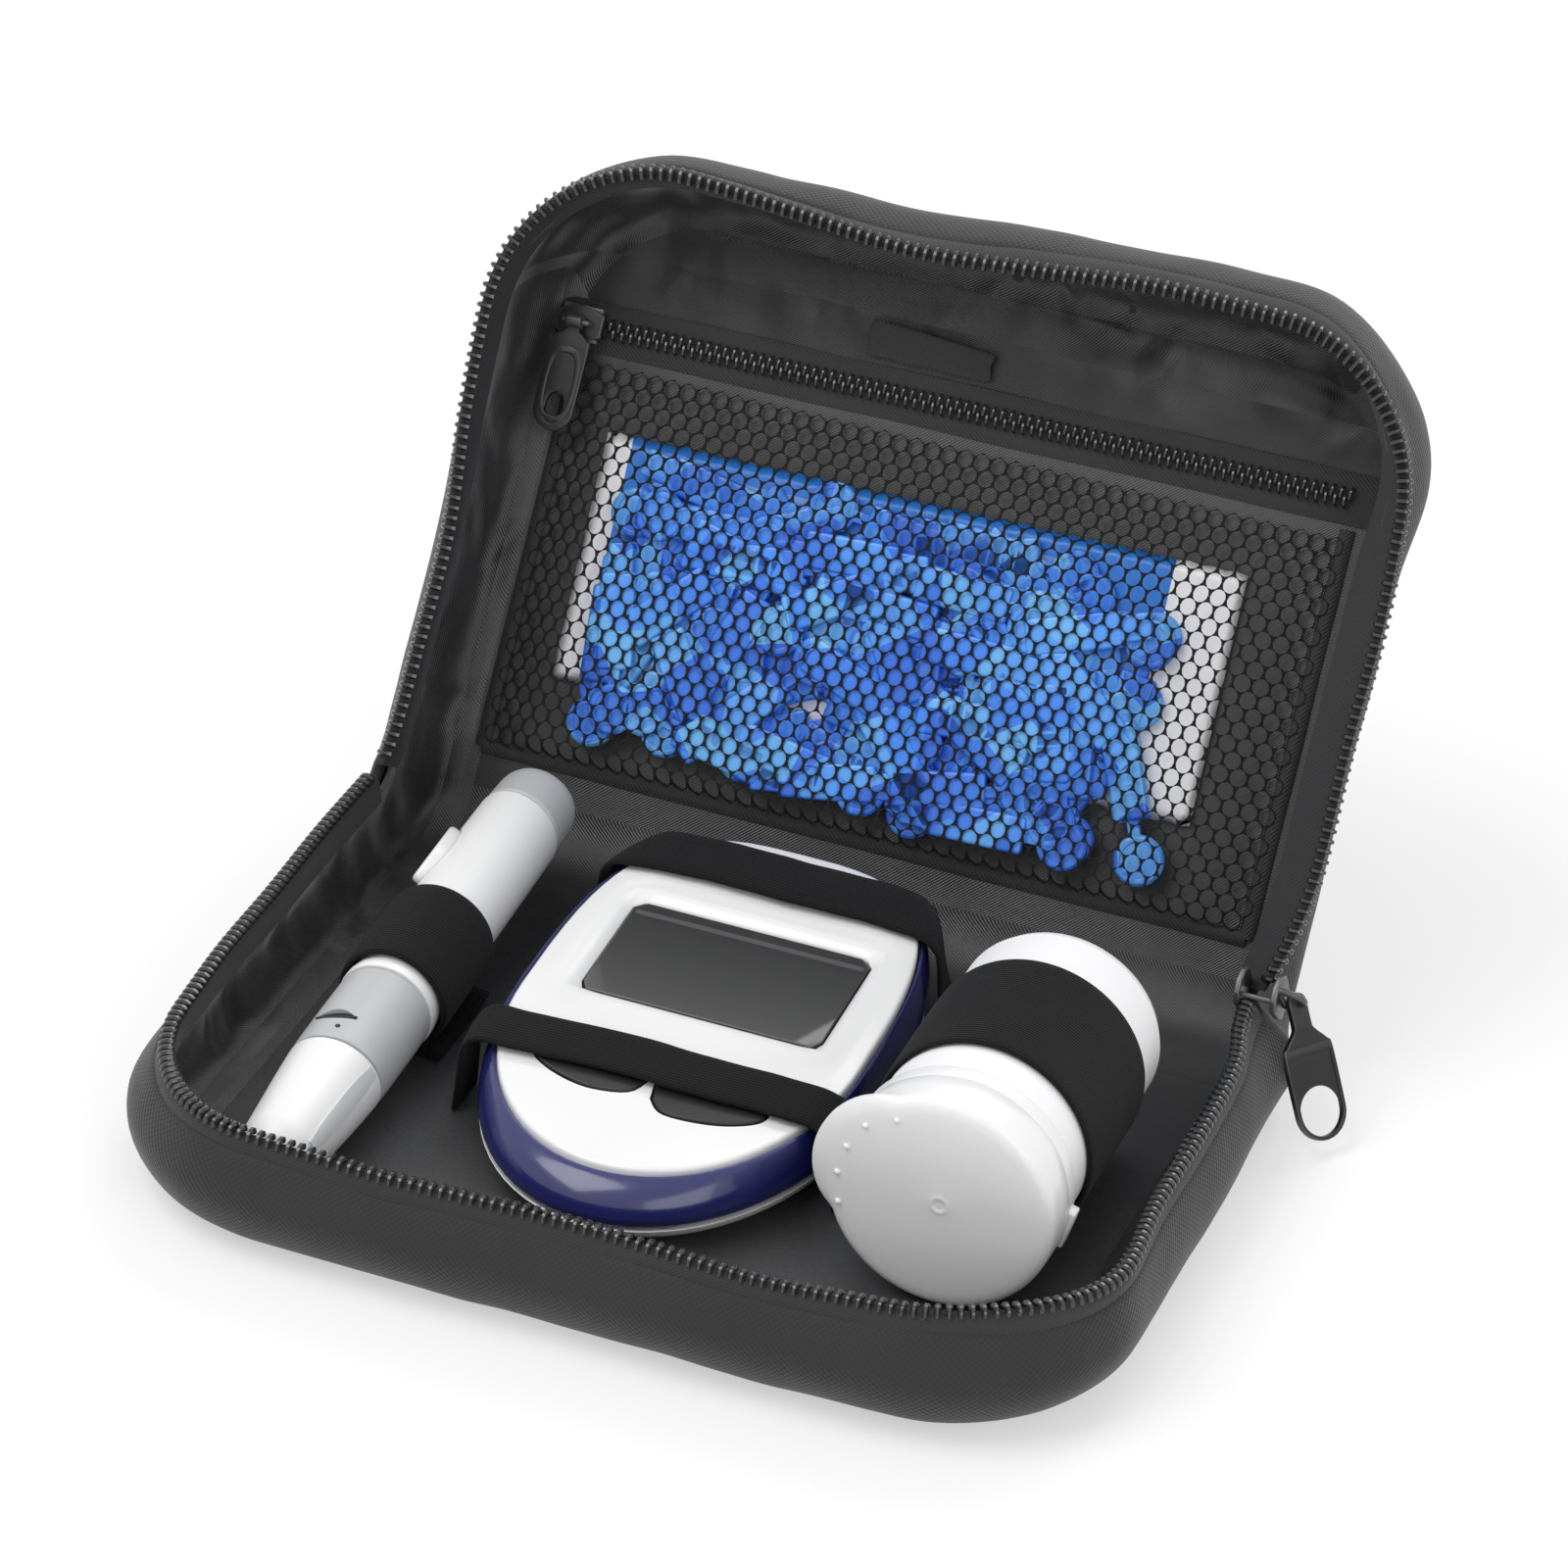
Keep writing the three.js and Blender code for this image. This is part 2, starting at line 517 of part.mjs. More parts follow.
// The net: a sheet with six-sided holes in staggered rows, bent over what the pocket holds.
function net() {
  const width = pocketWidth - 2 * netCell.border;
  const height = pocketHeight - 2 * netCell.border;
  const pitchX = width / (netCell.columns + half);
  const pitchY = height / (netCell.rows + netCell.sideShare);
  const holes = [];
  for (let row = 0; row < netCell.rows; row++) {
    for (let column = 0; column < netCell.columns; column++) {
      const x = -pocket.left + netCell.border + (column + half + (row % 2) * half) * pitchX;
      const y = pocket.bottom + netCell.border + (row + netCell.pointShare) * pitchY;
      const wide = (pitchX - netCell.strand) * half;
      const tall = pitchY * netCell.pointShare - netCell.strand * half;
      const side = pitchY * netCell.sideShare - netCell.strand * half * half;
      const corners = [[0, tall], [-wide, side], [-wide, -side], [0, -tall], [wide, -side], [wide, side]];
      holes.push(corners.map(([dx, dy]) => new THREE.Vector2(x + dx, y + dy)));
    }
  }
  const edge = [];
  const across = netCell.columns * 2;
  const along = netCell.rows * 2;
  for (let i = 0; i < across; i++) edge.push([-pocket.left + (pocketWidth * i) / across, pocket.bottom]);
  for (let i = 0; i < along; i++) edge.push([pocket.right, pocket.bottom + (pocketHeight * i) / along]);
  for (let i = 0; i < across; i++) edge.push([pocket.right - (pocketWidth * i) / across, pocket.top]);
  for (let i = 0; i < along; i++) edge.push([-pocket.left, pocket.top - (pocketHeight * i) / along]);
  const sheet = prism(edge.map(([x, y]) => new THREE.Vector2(x, y)), netForm.thickness, 0, holes);
  const p = sheet.getAttribute('position');
  for (let i = 0; i < p.count; i++) p.setZ(i, p.getZ(i) + netHeight(p.getX(i), p.getY(i)));
  return sheet;
}
piece(lid, 'pocket_net', net(), 'net');

const tapeTop = lidFace + pocketZip.tapeRise + pocketZip.tapeThickness;
piece(lid, 'pocket_zip_tape', box(pocketWidth, pocketZip.tapeWidth, pocketZip.tapeThickness,
  pocketMiddle, pocket.zipLine, tapeTop - pocketZip.tapeThickness * half), 'nylon');
const pocketCoilTop = tapeTop + gap + pocketZip.coilHeight;
piece(lid, 'pocket_zip_coil', box(pocketWidth + pocketZip.end, pocketZip.coilWidth, pocketZip.coilHeight,
  pocketMiddle, pocket.zipLine, pocketCoilTop - pocketZip.coilHeight * half), 'coil');

const barHeight = pocketCoilTop + gap + pocketSlider.plate + pocketSlider.legRise - pocketSlider.leg * half;
const smallSliderX = -pocket.left - pocketSlider.pastNet;

// The slider rides over the coil; its two lips reach down beside it.
function smallSlider() {
  const low = pocketCoilTop + gap;
  const y = pocket.zipLine;
  const x = smallSliderX;
  const middle = low + pocketSlider.plate * half;
  const plate = box(pocketSlider.long, pocketSlider.width, pocketSlider.plate, x, y, middle);
  const parts = [];
  for (const side of [-1, 1]) {
    const lipY = y + side * (pocketSlider.width - pocketSlider.lip) * half;
    parts.push(box(pocketSlider.long, pocketSlider.lip, pocketSlider.lipDepth + gap, x, lipY,
      low + gap - (pocketSlider.lipDepth + gap) * half));
    const legX = x + side * (pocketSlider.span - pocketSlider.leg) * half;
    const legHeight = pocketSlider.plate * half + pocketSlider.legRise;
    const legMiddle = barHeight - legHeight * half + pocketSlider.leg * half;
    parts.push(box(pocketSlider.leg, pocketSlider.leg, legHeight, legX, y, legMiddle));
  }
  const reach = (pocketSlider.span - pocketSlider.leg) * half;
  const bar = rod(new THREE.Vector3(x - reach, y, barHeight), new THREE.Vector3(x + reach, y, barHeight),
    pocketSlider.bar * half, facets.wire);
  return join(plate, ...parts, bar);
}
piece(lid, 'pocket_slider', smallSlider(), 'enamel');

// A knuckle round the bar carries the flat pull.
function smallPull() {
  const width = pocketPull.width * half;
  const end = pocketPull.long - width;
  const neck = pocketPull.knuckleWidth * half;
  const outline = [new THREE.Vector2(-neck, 0), new THREE.Vector2(-neck, -pocketPull.neck)];
  outline.push(new THREE.Vector2(-width, -pocketPull.shoulder));
  for (let i = 0; i <= facets.disc; i++) {
    const turn = Math.PI * (1 + i / facets.disc);
    outline.push(new THREE.Vector2(width * Math.cos(turn), -end + width * Math.sin(turn)));
  }
  outline.push(new THREE.Vector2(width, -pocketPull.shoulder));
  outline.push(new THREE.Vector2(neck, -pocketPull.neck), new THREE.Vector2(neck, 0));
  const plate = prism(outline, pocketPull.thickness, -pocketPull.thickness * half,
    [circlePoints(pocketPull.hole, facets.smallHole, 0, -end)]);
  const reach = new THREE.Vector3(neck, 0, 0);
  const boreReach = new THREE.Vector3(neck + overrun, 0, 0);
  const knuckle = rod(reach.clone().negate(), reach, pocketPull.knuckle, facets.knuckle);
  const bore = rod(boreReach.clone().negate(), boreReach, pocketPull.eye, facets.knuckle);
  return cut(join(plate, knuckle), bore);
}
const smallPullGroup = new THREE.Group();
smallPullGroup.position.set(smallSliderX, pocket.zipLine, barHeight);
lid.add(smallPullGroup);
piece(smallPullGroup, 'pocket_pull', smallPull(), 'enamel');

piece(lid, 'label_tab', box(tab.width, tab.height, tab.thickness,
  tab.width * half - tab.left, pocket.zipLine + pocketZip.tapeWidth * half + tab.gapToZip + tab.height * half,
  lidFace + gap + tab.thickness * half), 'twill');

const cardGroup = new THREE.Group();
const cardWidth = pocketWidth - card.left - card.right;
const cardHeight = pocketHeight - card.bottom - card.top;
const cardX = pocketMiddle + (card.left - card.right) * half;
cardGroup.position.set(cardX, pocket.bottom + card.bottom + cardHeight * half, lidFace + card.rise);
cardGroup.rotation.z = card.turn * degrees;
lid.add(cardGroup);
const packet = box(cardWidth, cardHeight, card.thickness, 0, 0, card.thickness * half);
piece(cardGroup, 'swab_packet', packet, 'paper');

// A lancet seen flat: a round twist-off disc, a neck, a body with shoulders and a narrower tail.
function lancetOutline() {
  const points = [];
  const opening = Math.asin(lancet.neck / lancet.disc);
  for (let i = 0; i <= facets.disc; i++) {
    const turn = opening + (i / facets.disc) * 2 * (Math.PI - opening);
    points.push(new THREE.Vector2(lancet.disc * Math.cos(turn), lancet.disc * Math.sin(turn)));
  }
  const body = pocketHeight * lancetLengthShares.neck;
  const tail = body + pocketHeight * lancetLengthShares.body;
  const end = tail + pocketHeight * lancetLengthShares.tail;
  points.push(new THREE.Vector2(body - lancet.neck, -lancet.neck), new THREE.Vector2(body, -lancet.body));
  points.push(new THREE.Vector2(tail, -lancet.body), new THREE.Vector2(tail, -lancet.tail));
  points.push(new THREE.Vector2(end, -lancet.tail), new THREE.Vector2(end, lancet.tail));
  points.push(new THREE.Vector2(tail, lancet.tail), new THREE.Vector2(tail, lancet.body));
  points.push(new THREE.Vector2(body, lancet.body), new THREE.Vector2(body - lancet.neck, lancet.neck));
  return points;
}
lancetShares.forEach(([x, y, turn], i) => {
  const place = new THREE.Group();
  place.position.set(pocketMiddle + x * pocketWidth, pocket.bottom + y * pocketHeight, lidFace + lancet.rise);
  place.rotation.z = turn * degrees;
  lid.add(place);
  piece(place, `lancet_${i + 1}`, prism(lancetOutline(), lancet.thickness), 'blue');
});

// Meter

const meterSlope = Math.tan(meter.slope * degrees);
const topAt = (y) => meter.screenTop + (y - meter.screenY) * meterSlope;
const seamAt = (y) => meter.floor + (topAt(y) - meter.floor) * meter.seamShare;
const between = (y, share) => THREE.MathUtils.lerp(seamAt(y), topAt(y), share);

// Plan of the meter, drawn in by separate amounts at the sides, the front and the rear.
function meterPlan(side, front, rear) {
  const width = meterHalf - side;
  const points = [];
  for (let i = 0; i < meter.segments; i++) {
    const turn = (i / meter.segments) * 2 * Math.PI;
    const [c, s] = [Math.cos(turn), Math.sin(turn)];
    const power = s > 0 ? 2 / meter.rearPower : 1;
    const reach = s > 0 ? meter.rear - rear - meter.middle : meter.middle - meter.front - front;
    const x = Math.sign(c) * Math.abs(c) ** power * width;
    points.push([x + meterX, meter.middle + Math.sign(s) * Math.abs(s) ** power * reach]);
  }
  return points;
}
const ringAt = (plan, height) => plan.map(([x, y]) => new THREE.Vector3(x, y, height(y)));
const even = (amount) => meterPlan(amount, amount, amount);

function meterSole() {
  const wall = meter.wall;
  const low = meter.floor;
  const rings = [
    ringAt(even(meter.soleInset), () => low),
    ringAt(even(meter.soleInset * half * half), () => low + meter.soleRise),
    ringAt(even(gap), (y) => seamAt(y)),
    ringAt(even(gap + wall), (y) => seamAt(y)),
    ringAt(even(meter.soleInset * half * half + wall), () => low + meter.soleRise + wall * half),
    ringAt(even(meter.soleInset + wall), () => low + wall),
  ];
  const shellSolid = loft(rings);
  const opening = box(doorWidth + 2 * gap, door.long + door.travel + 2 * gap, 4 * wall,
    meterX, door.y - door.travel * half, low);
  const posts = [];
  for (const side of [-1, 1]) {
    for (const reach of [-circuit.postFront, circuit.postRear]) {
      const y = meter.middle + reach;
      const foot = new THREE.Vector3(meterX + side * meterHalf * meterShares.post, y, low + wall * half);
      posts.push(rod(foot, foot.clone().setZ(boardLow(y) - gap), circuit.postRadius, facets.post));
    }
  }
  return cut(join(shellSolid, ...posts), opening);
}
const boardLow = (y) => seamAt(y) + circuit.rise;
const boardHigh = (y) => boardLow(y) + circuit.thickness;
const doorWidth = meterShares.door * meterHalf;
piece(root, 'meter_bottom_cover', meterSole(), 'white');

const portHeight = boardHigh(meter.rear) + gap + port.height * half;
function meterBand() {
  const wall = meter.wall;
  const topPlan = meterPlan(meter.sideInset - gap, meter.frontInset - gap, meter.rearInset - gap);
  const topInner = meterPlan(
    meter.sideInset + wall * half, meter.frontInset + wall * half, meter.rearInset + wall * half);
  const upper = meterPlan(meter.sideInset * half, meter.frontInset * half, meter.rearInset * half);
  const upperInner = meterPlan(
    meter.sideInset * half + wall, meter.frontInset * half + wall, meter.rearInset * half + wall);
  const plateLow = (y) => topAt(y) - meter.plate - gap;
  const rings = [
    ringAt(even(gap), (y) => seamAt(y) + gap),
    ringAt(even(0), (y) => between(y, meter.beltShare * half)),
    ringAt(upper, (y) => between(y, meter.beltShare)),
    ringAt(topPlan, (y) => plateLow(y) + meter.plate * half),
    ringAt(topPlan, (y) => plateLow(y)),
    ringAt(topInner, (y) => plateLow(y) - wall * half),
    ringAt(upperInner, (y) => between(y, meter.beltShare) - wall * half),
    ringAt(even(gap + wall), (y) => seamAt(y) + gap),
  ];
  const slotWidth = meterShares.slot * meterHalf;
  const slot = box(slotWidth, meter.rearInset * 4, port.slotHeight, meterX, meter.rear, portHeight);
  return cut(loft(rings, true), slot);
}
piece(root, 'meter_side_band', meterBand(), 'navy');

// Both keys, in the plane of the sloping face.
const face = new THREE.Group();
face.position.set(meterX, button.y, topAt(button.y));
face.rotation.x = meter.slope * degrees;
root.add(face);
face.updateMatrixWorld(true);
const keyPoint = ([x, y]) => new THREE.Vector2(x * keySize.width, y * keySize.height);
const keyPoints = (shares) => shares.map(keyPoint);

// An outline grown about its own middle by a clearance.
function grown(points, amount) {
  const middle = points.reduce((sum, p) => sum.add(p), new THREE.Vector2()).divideScalar(points.length);
  return points.map((p) => {
    const away = p.clone().sub(middle);
    return p.clone().addScaledVector(away.normalize(), amount);
  });
}

const screenWidth = meterShares.screen * meterHalf;
function meterTop() {
  const side = meter.sideInset;
  const front = meter.frontInset;
  const rear = meter.rearInset;
  const c = meter.chamfer;
  const rings = [
    ringAt(meterPlan(side + gap, front + gap, rear + gap), (y) => topAt(y) - meter.plate),
    ringAt(meterPlan(side + gap, front + gap, rear + gap), (y) => topAt(y) - c),
    ringAt(meterPlan(side + c + gap, front + c + gap, rear + c + gap), (y) => topAt(y)),
  ];
  const window = box(screenWidth, screen.height, 4 * meter.plate, meterX, meter.screenY, meter.screenTop);
  const keyHole = (shares) => {
    const hole = prism(grown(keyPoints(shares), button.clearance), 4 * meter.plate, -2 * meter.plate);
    return hole.applyMatrix4(face.matrixWorld);
  };
  const keyHoles = [keyHole(leftKeyShares), keyHole(rightKeyShares)];
  return cut(loft(rings), window, ...keyHoles);
}
piece(root, 'meter_top_cover', meterTop(), 'white');

function sloped(width, reach, low, high, y) {
  const corners = [[-1, -1], [1, -1], [1, 1], [-1, 1]].map(([sx, sy]) =>
    [meterX + sx * width * half, y + sy * reach * half]);
  return loft([ringAt(corners, low), ringAt(corners, high)]);
}
const glassTop = (y) => topAt(y) - screen.recess;
const glassLow = (y) => glassTop(y) - screen.glass;
piece(root, 'screen_window',
  sloped(screenWidth - 2 * gap, screen.height - 2 * gap, glassLow, glassTop, meter.screenY), 'glass');
piece(root, 'screen_module', sloped(meterShares.module * meterHalf, screen.moduleHeight,
  (y) => boardHigh(y) + gap, (y) => topAt(y) - meter.plate - gap, meter.screenY), 'black');

function circuitBoard() {
  const plan = meterPlan(circuit.inset, circuit.inset + meter.frontInset * half, circuit.inset);
  return loft([ringAt(plan, boardLow), ringAt(plan, boardHigh)]);
}
piece(root, 'circuit_board', circuitBoard(), 'circuit');
piece(root, 'strip_port', box(meterShares.port * meterHalf, port.long, port.height, meterX,
  meter.rear - port.inset - port.long, portHeight), 'black');
const cellPlan = circlePoints(meterShares.cell * meterHalf, facets.cell, meterX, cell.y);
const cellRing = (height) => cellPlan.map((p) => new THREE.Vector3(p.x, p.y, height));
const cellLow = meter.floor + meter.wall + gap;
piece(root, 'coin_cell', loft([cellRing(cellLow), cellRing(cellLow + cell.thickness)]), 'steel');
piece(root, 'battery_door', box(doorWidth, door.long, door.thickness,
  meterX, door.y, meter.floor + gap * half + door.thickness * half), 'white');
for (const [name, shares] of [['left_button', leftKeyShares], ['right_button', rightKeyShares]]) {
  piece(face, name, prism(keyPoints(shares), button.depth + button.proud, -button.depth), 'black');
}

// An elastic band over the meter, both ends on the floor.
function meterStrap(y, width) {
  const inner = meterHalf + strap.sideGap;
  const outer = inner + strap.thickness;
  const low = floorTop + gap;
  const high = topAt(y + width) + strap.slack;
  const c = strap.corner;
  const outerPath = [[outer, low], [outer, high + strap.thickness - c], [outer - c, high + strap.thickness]];
  const innerPath = [[inner - c, high], [inner, high - c], [inner, low]];
  const mirrored = (path) => path.map(([x, z]) => [-x, z]).toReversed();
  const corners = [...outerPath, ...mirrored(outerPath), ...mirrored(innerPath), ...innerPath];
  const outline = corners.map(([x, z]) => new THREE.Vector2(x, z));
  const band = prism(outline, width);
  return band.rotateX(Math.PI * half).translate(meterX, y + width, 0);
}
piece(root, 'front_meter_strap', meterStrap(strap.frontY, strap.frontWidth), 'elastic');
piece(root, 'rear_meter_strap', meterStrap(strap.rearY, strap.rearWidth), 'elastic');

// Lancing pen; Y of its frame runs along the axis to the rear

const penGroup = new THREE.Group();
penGroup.position.set(penX, pen.y, pen.z);
penGroup.rotation.x = pen.slope * degrees;
root.add(penGroup);
const penBore = pen.radius - pen.wall;
const sleeveStart = pen.barrelEnd + gap;

// The release button, or with a clearance the opening it slides in.
function releaseStem(grow, sink) {
  const reach = release.long * half;
  const wide = release.width * half + grow;
  const outline = [];
  for (let i = 0; i < facets.release; i++) {
    const turn = (i / facets.release) * 2 * Math.PI;
    outline.push(new THREE.Vector2(wide * Math.cos(turn), (reach + grow) * Math.sin(turn)));
  }
  const stem = prism(outline, pen.radius + release.proud - release.stem + sink, release.stem - sink);
  stem.rotateY((90 - release.turn) * degrees);
  return stem.translate(0, release.start + reach, 0);
}

function penBarrel() {
  const lipRadius = pen.radius + pen.lipRise;
  const stopBore = plunger.radius + 2 * gap;
  const stopEnd = pen.stop + pen.stopDepth;
  const profile = [
    [penBore, gap], [lipRadius, gap], [lipRadius, pen.lip], [pen.radius, pen.lip],
    [pen.rearRadius, pen.barrelEnd], [penBore - gap, pen.barrelEnd], [penBore, stopEnd],
    [stopBore, stopEnd], [stopBore, pen.stop], [penBore, pen.stop],
  ];
  return cut(turned(profile, pen.segments), releaseStem(gap, release.travel));
}
piece(penGroup, 'pen_barrel', penBarrel(), 'white');
piece(penGroup, 'depth_ring', turned([
  [penBore, -pen.ring], [pen.radius, -pen.ring], [pen.radius, 0], [penBore, 0],
], pen.segments), 'grey');
const capStart = -pen.ring - gap;
const capEnd = capStart - pen.cap;
piece(penGroup, 'pen_front_cap', turned([
  [penBore, capStart], [pen.radius, capStart], [pen.capTip + pen.tipRound * half, capEnd + pen.tipRound],
  [pen.capTip - pen.tipRound * half, capEnd], [pen.needleHole, capEnd], [pen.needleHole, capEnd + pen.wall],
  [pen.capTip - pen.wall * half, capEnd + pen.wall + pen.tipRound],
], pen.segments), 'white');
const plungerEnd = sleeveStart + pen.sleeve * half;
const sleeveEnd = sleeveStart + pen.sleeve;
piece(penGroup, 'cocking_sleeve', turned([
  [0, sleeveEnd], [pen.sleeveRadius - pen.wall, sleeveEnd], [pen.sleeveRadius, sleeveEnd - pen.wall],
  [pen.sleeveRadius, sleeveStart], [plunger.radius + gap, sleeveStart],
  [plunger.radius + gap, plungerEnd + gap], [0, plungerEnd + gap],
], pen.segments), 'grey');
piece(penGroup, 'pen_plunger', turned([
  [0, plunger.front], [plunger.holder, plunger.front], [plunger.holder, plunger.front + plunger.holderDepth],
  [plunger.radius, plunger.front + plunger.holderDepth], [plunger.radius, plungerEnd], [0, plungerEnd],
], facets.pin), 'steel');
const needleStart = plunger.front - gap;
piece(penGroup, 'pen_lancet', turned([
  [0, needleStart - needle.long - needle.tipReach], [needle.tip, needleStart - needle.long],
  [needle.radius, needleStart - needle.long], [needle.radius, needleStart], [0, needleStart],
], facets.pin), 'blue');

// The firing spring: one unbroken wire wound round the plunger.
class SpringLine extends THREE.Curve {
  getPoint(t, target = new THREE.Vector3()) {
    const turn = t * spring.curls * 2 * Math.PI;
    const along = spring.start + spring.long * t;
    return target.set(spring.radius * Math.cos(turn), along, spring.radius * Math.sin(turn));
  }
}
function wireAlong(curve, radius, steps, sides) {
  const rings = [];
  for (let i = 0; i <= steps; i++) {
    const t = i / steps;
    const centre = curve.getPoint(t);
    const tangent = curve.getTangent(t);
    const out = new THREE.Vector3(centre.x, 0, centre.z).normalize();
    const side = new THREE.Vector3().crossVectors(tangent, out).normalize();
    const up = new THREE.Vector3().crossVectors(side, tangent);
    const ring = circlePoints(radius, sides);
    rings.push(ring.map((p) => centre.clone().addScaledVector(up, p.x).addScaledVector(side, p.y)));
  }
  return loft(rings);
}
const springLine = new SpringLine();
const springWire = wireAlong(springLine, spring.wire * half, spring.curls * spring.steps, spring.sides);
piece(penGroup, 'firing_spring', springWire, 'steel');

// The least gap between neighbouring curls, measured from point to point along the wire's middle line.
function gapBetweenCurls(curve, wire) {
  const count = spring.curls * spring.steps;
  const points = Array.from({ length: count + 1 }, (_, i) => curve.getPoint(i / count));
  let least = Infinity;
  for (let i = 0; i <= count; i++) {
    for (let k = i + spring.steps * half; k <= count; k++) {
      least = Math.min(least, points[i].distanceTo(points[k]));
    }
  }
  return least - wire;
}
console.log(`firing_spring: least gap to itself ${gapBetweenCurls(springLine, spring.wire).toFixed(2)} mm`);
piece(penGroup, 'release_button', releaseStem(0, 0), 'white');

// The pen's elastic loop, with a flat foot on the floor.
function penElastic() {
  const inner = penLoopInner;
  const outer = inner + penLoop.thickness;
  const footLow = -(pen.z - floorTop - gap) - (pen.y + penLoop.start) * Math.tan(pen.slope * degrees);
  const outline = [];
  for (let i = 0; i <= facets.loop; i++) {
    const turn = (loopTurn.start + (i / facets.loop) * loopTurn.whole) * degrees;
    outline.push(new THREE.Vector2(outer * Math.cos(turn), outer * Math.sin(turn)));
  }
  const low = Math.max(footLow, -outer - penLoop.thickness);
  outline.push(new THREE.Vector2(-penLoop.foot, low), new THREE.Vector2(penLoop.foot, low));
  const band = prism(outline, penLoop.width, 0, [circlePoints(inner, facets.loopBore)]);
  return band.rotateX(Math.PI * half).translate(0, penLoop.start + penLoop.width, 0);
}
piece(penGroup, 'pen_loop', penElastic(), 'elastic');

// Strip vial; Y of its frame runs from the cap's face to the rear

const vialGroup = new THREE.Group();
vialGroup.position.set(vialX, vial.face, vial.z);
root.add(vialGroup);
const tubeStart = vial.capHeight + gap;
const collarEnd = tubeStart + vial.collarHeight;
const tubeBore = vial.neck - vial.wall;
function vialTube() {
  const tube = turned([
    [0, vial.long], [vial.radius, vial.long], [vial.radius, collarEnd], [vial.collar, collarEnd],
    [vial.collar, tubeStart], [vial.neck, tubeStart], [vial.neck, tubeStart - vial.neckHeight],
    [tubeBore, tubeStart - vial.neckHeight], [tubeBore, vial.long - vial.wall], [0, vial.long - vial.wall],
  ], vial.segments);
  const lug = box(vial.hingeReach * 2, vial.collarHeight - gap, vial.hingeWidth,
    vial.collar, collarEnd - (vial.collarHeight - gap) * half, 0);
  return join(tube, lug.rotateY(-(vial.tabTurn - 180) * degrees));
}
piece(vialGroup, 'vial_tube', vialTube(), 'white');

function vialCap() {
  const cup = turned([
    [0, -vial.sprueRise], [vial.sprue, 0], [vial.capRadius - vial.capTop * half, 0],
    [vial.capRadius, vial.capTop * half], [vial.capRadius, vial.capHeight],
    [vial.capBore, vial.capHeight], [vial.capBore, vial.capTop], [0, vial.capTop],
  ], vial.segments);
  const thumb = [new THREE.Vector2(0, 0)];
  for (let i = 0; i <= facets.thumb; i++) {
    const turn = (vial.tabTurn - vial.tabSpan + (i / facets.thumb) * 2 * vial.tabSpan) * degrees;
    const reach = vial.capRadius + vial.tabReach * Math.sin((i / facets.thumb) * Math.PI) ** half;
    thumb.push(new THREE.Vector2(reach * Math.cos(turn), reach * Math.sin(turn)));
  }
  const lug = prism(thumb, vial.capTop - gap, 0).rotateX(Math.PI * half).translate(0, vial.capTop, 0);
  return join(cup, lug);
}
piece(vialGroup, 'vial_cap', vialCap(), 'white');

const labelStart = collarEnd + gap;
piece(vialGroup, 'vial_label', turned([
  [labelInner, labelStart], [labelInner + vial.label, labelStart],
  [labelInner + vial.label, vial.long - vial.labelInset], [labelInner, vial.long - vial.labelInset],
], vial.segments), 'paper');
const linerOuter = tubeBore - gap;
const linerEnd = vial.long - vial.wall - gap;
piece(vialGroup, 'desiccant_liner', turned([
  [linerOuter - vial.liner, linerEnd - vial.linerReach], [linerOuter, linerEnd - vial.linerReach],
  [linerOuter, linerEnd], [linerOuter - vial.liner, linerEnd],
], vial.segments), 'paper');
const stripLow = -Math.sqrt((linerOuter - vial.liner - gap) ** 2 - (strip.width * half) ** 2);
for (let i = 0; i < strip.count; i++) {
  const z = stripLow + gap + strip.thickness * half + i * strip.pitch;
  piece(vialGroup, `test_strip_${i + 1}`,
    box(strip.width, strip.long, strip.thickness, 0, linerEnd - gap - strip.long * half, z), 'white');
}

// The vial's elastic loop lies on the floor.
piece(root, 'vial_loop', turned([
  [vialLoopInner, 0], [vialLoopInner + vialLoop.thickness, 0],
  [vialLoopInner + vialLoop.thickness, vialLoop.width], [vialLoopInner, vialLoop.width],
], vial.segments).translate(vialX, vialLoop.front, vial.z), 'elastic');

export default root;
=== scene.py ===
"""A zip case for a blood glucose kit over its frame: cloth, zips, net, elastics and moulded parts."""

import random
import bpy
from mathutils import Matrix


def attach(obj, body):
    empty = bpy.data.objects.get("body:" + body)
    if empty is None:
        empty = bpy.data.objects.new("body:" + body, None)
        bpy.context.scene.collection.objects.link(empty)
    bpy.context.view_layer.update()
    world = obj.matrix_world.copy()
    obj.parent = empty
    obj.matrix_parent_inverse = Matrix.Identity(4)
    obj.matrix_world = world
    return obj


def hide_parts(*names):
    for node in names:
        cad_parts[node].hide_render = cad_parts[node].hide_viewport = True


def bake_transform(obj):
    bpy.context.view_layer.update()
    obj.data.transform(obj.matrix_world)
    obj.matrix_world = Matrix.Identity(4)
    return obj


bl_info = {
    "name": "Glucose kit case",
    "version": (1, 0, 0),
    "blender": (4, 5, 0),
    "location": "View3D > Sidebar > Kit case",
    "description": "Builds a soft zip case with its meter, lancing pen and strip vial over the frame",
    "category": "Object",
}

from math import atan2, cos, degrees, hypot, pi, radians, sin, sqrt, tan

import bmesh
import bpy
from bpy.props import FloatProperty, FloatVectorProperty, PointerProperty
from mathutils import Matrix, Vector, noise

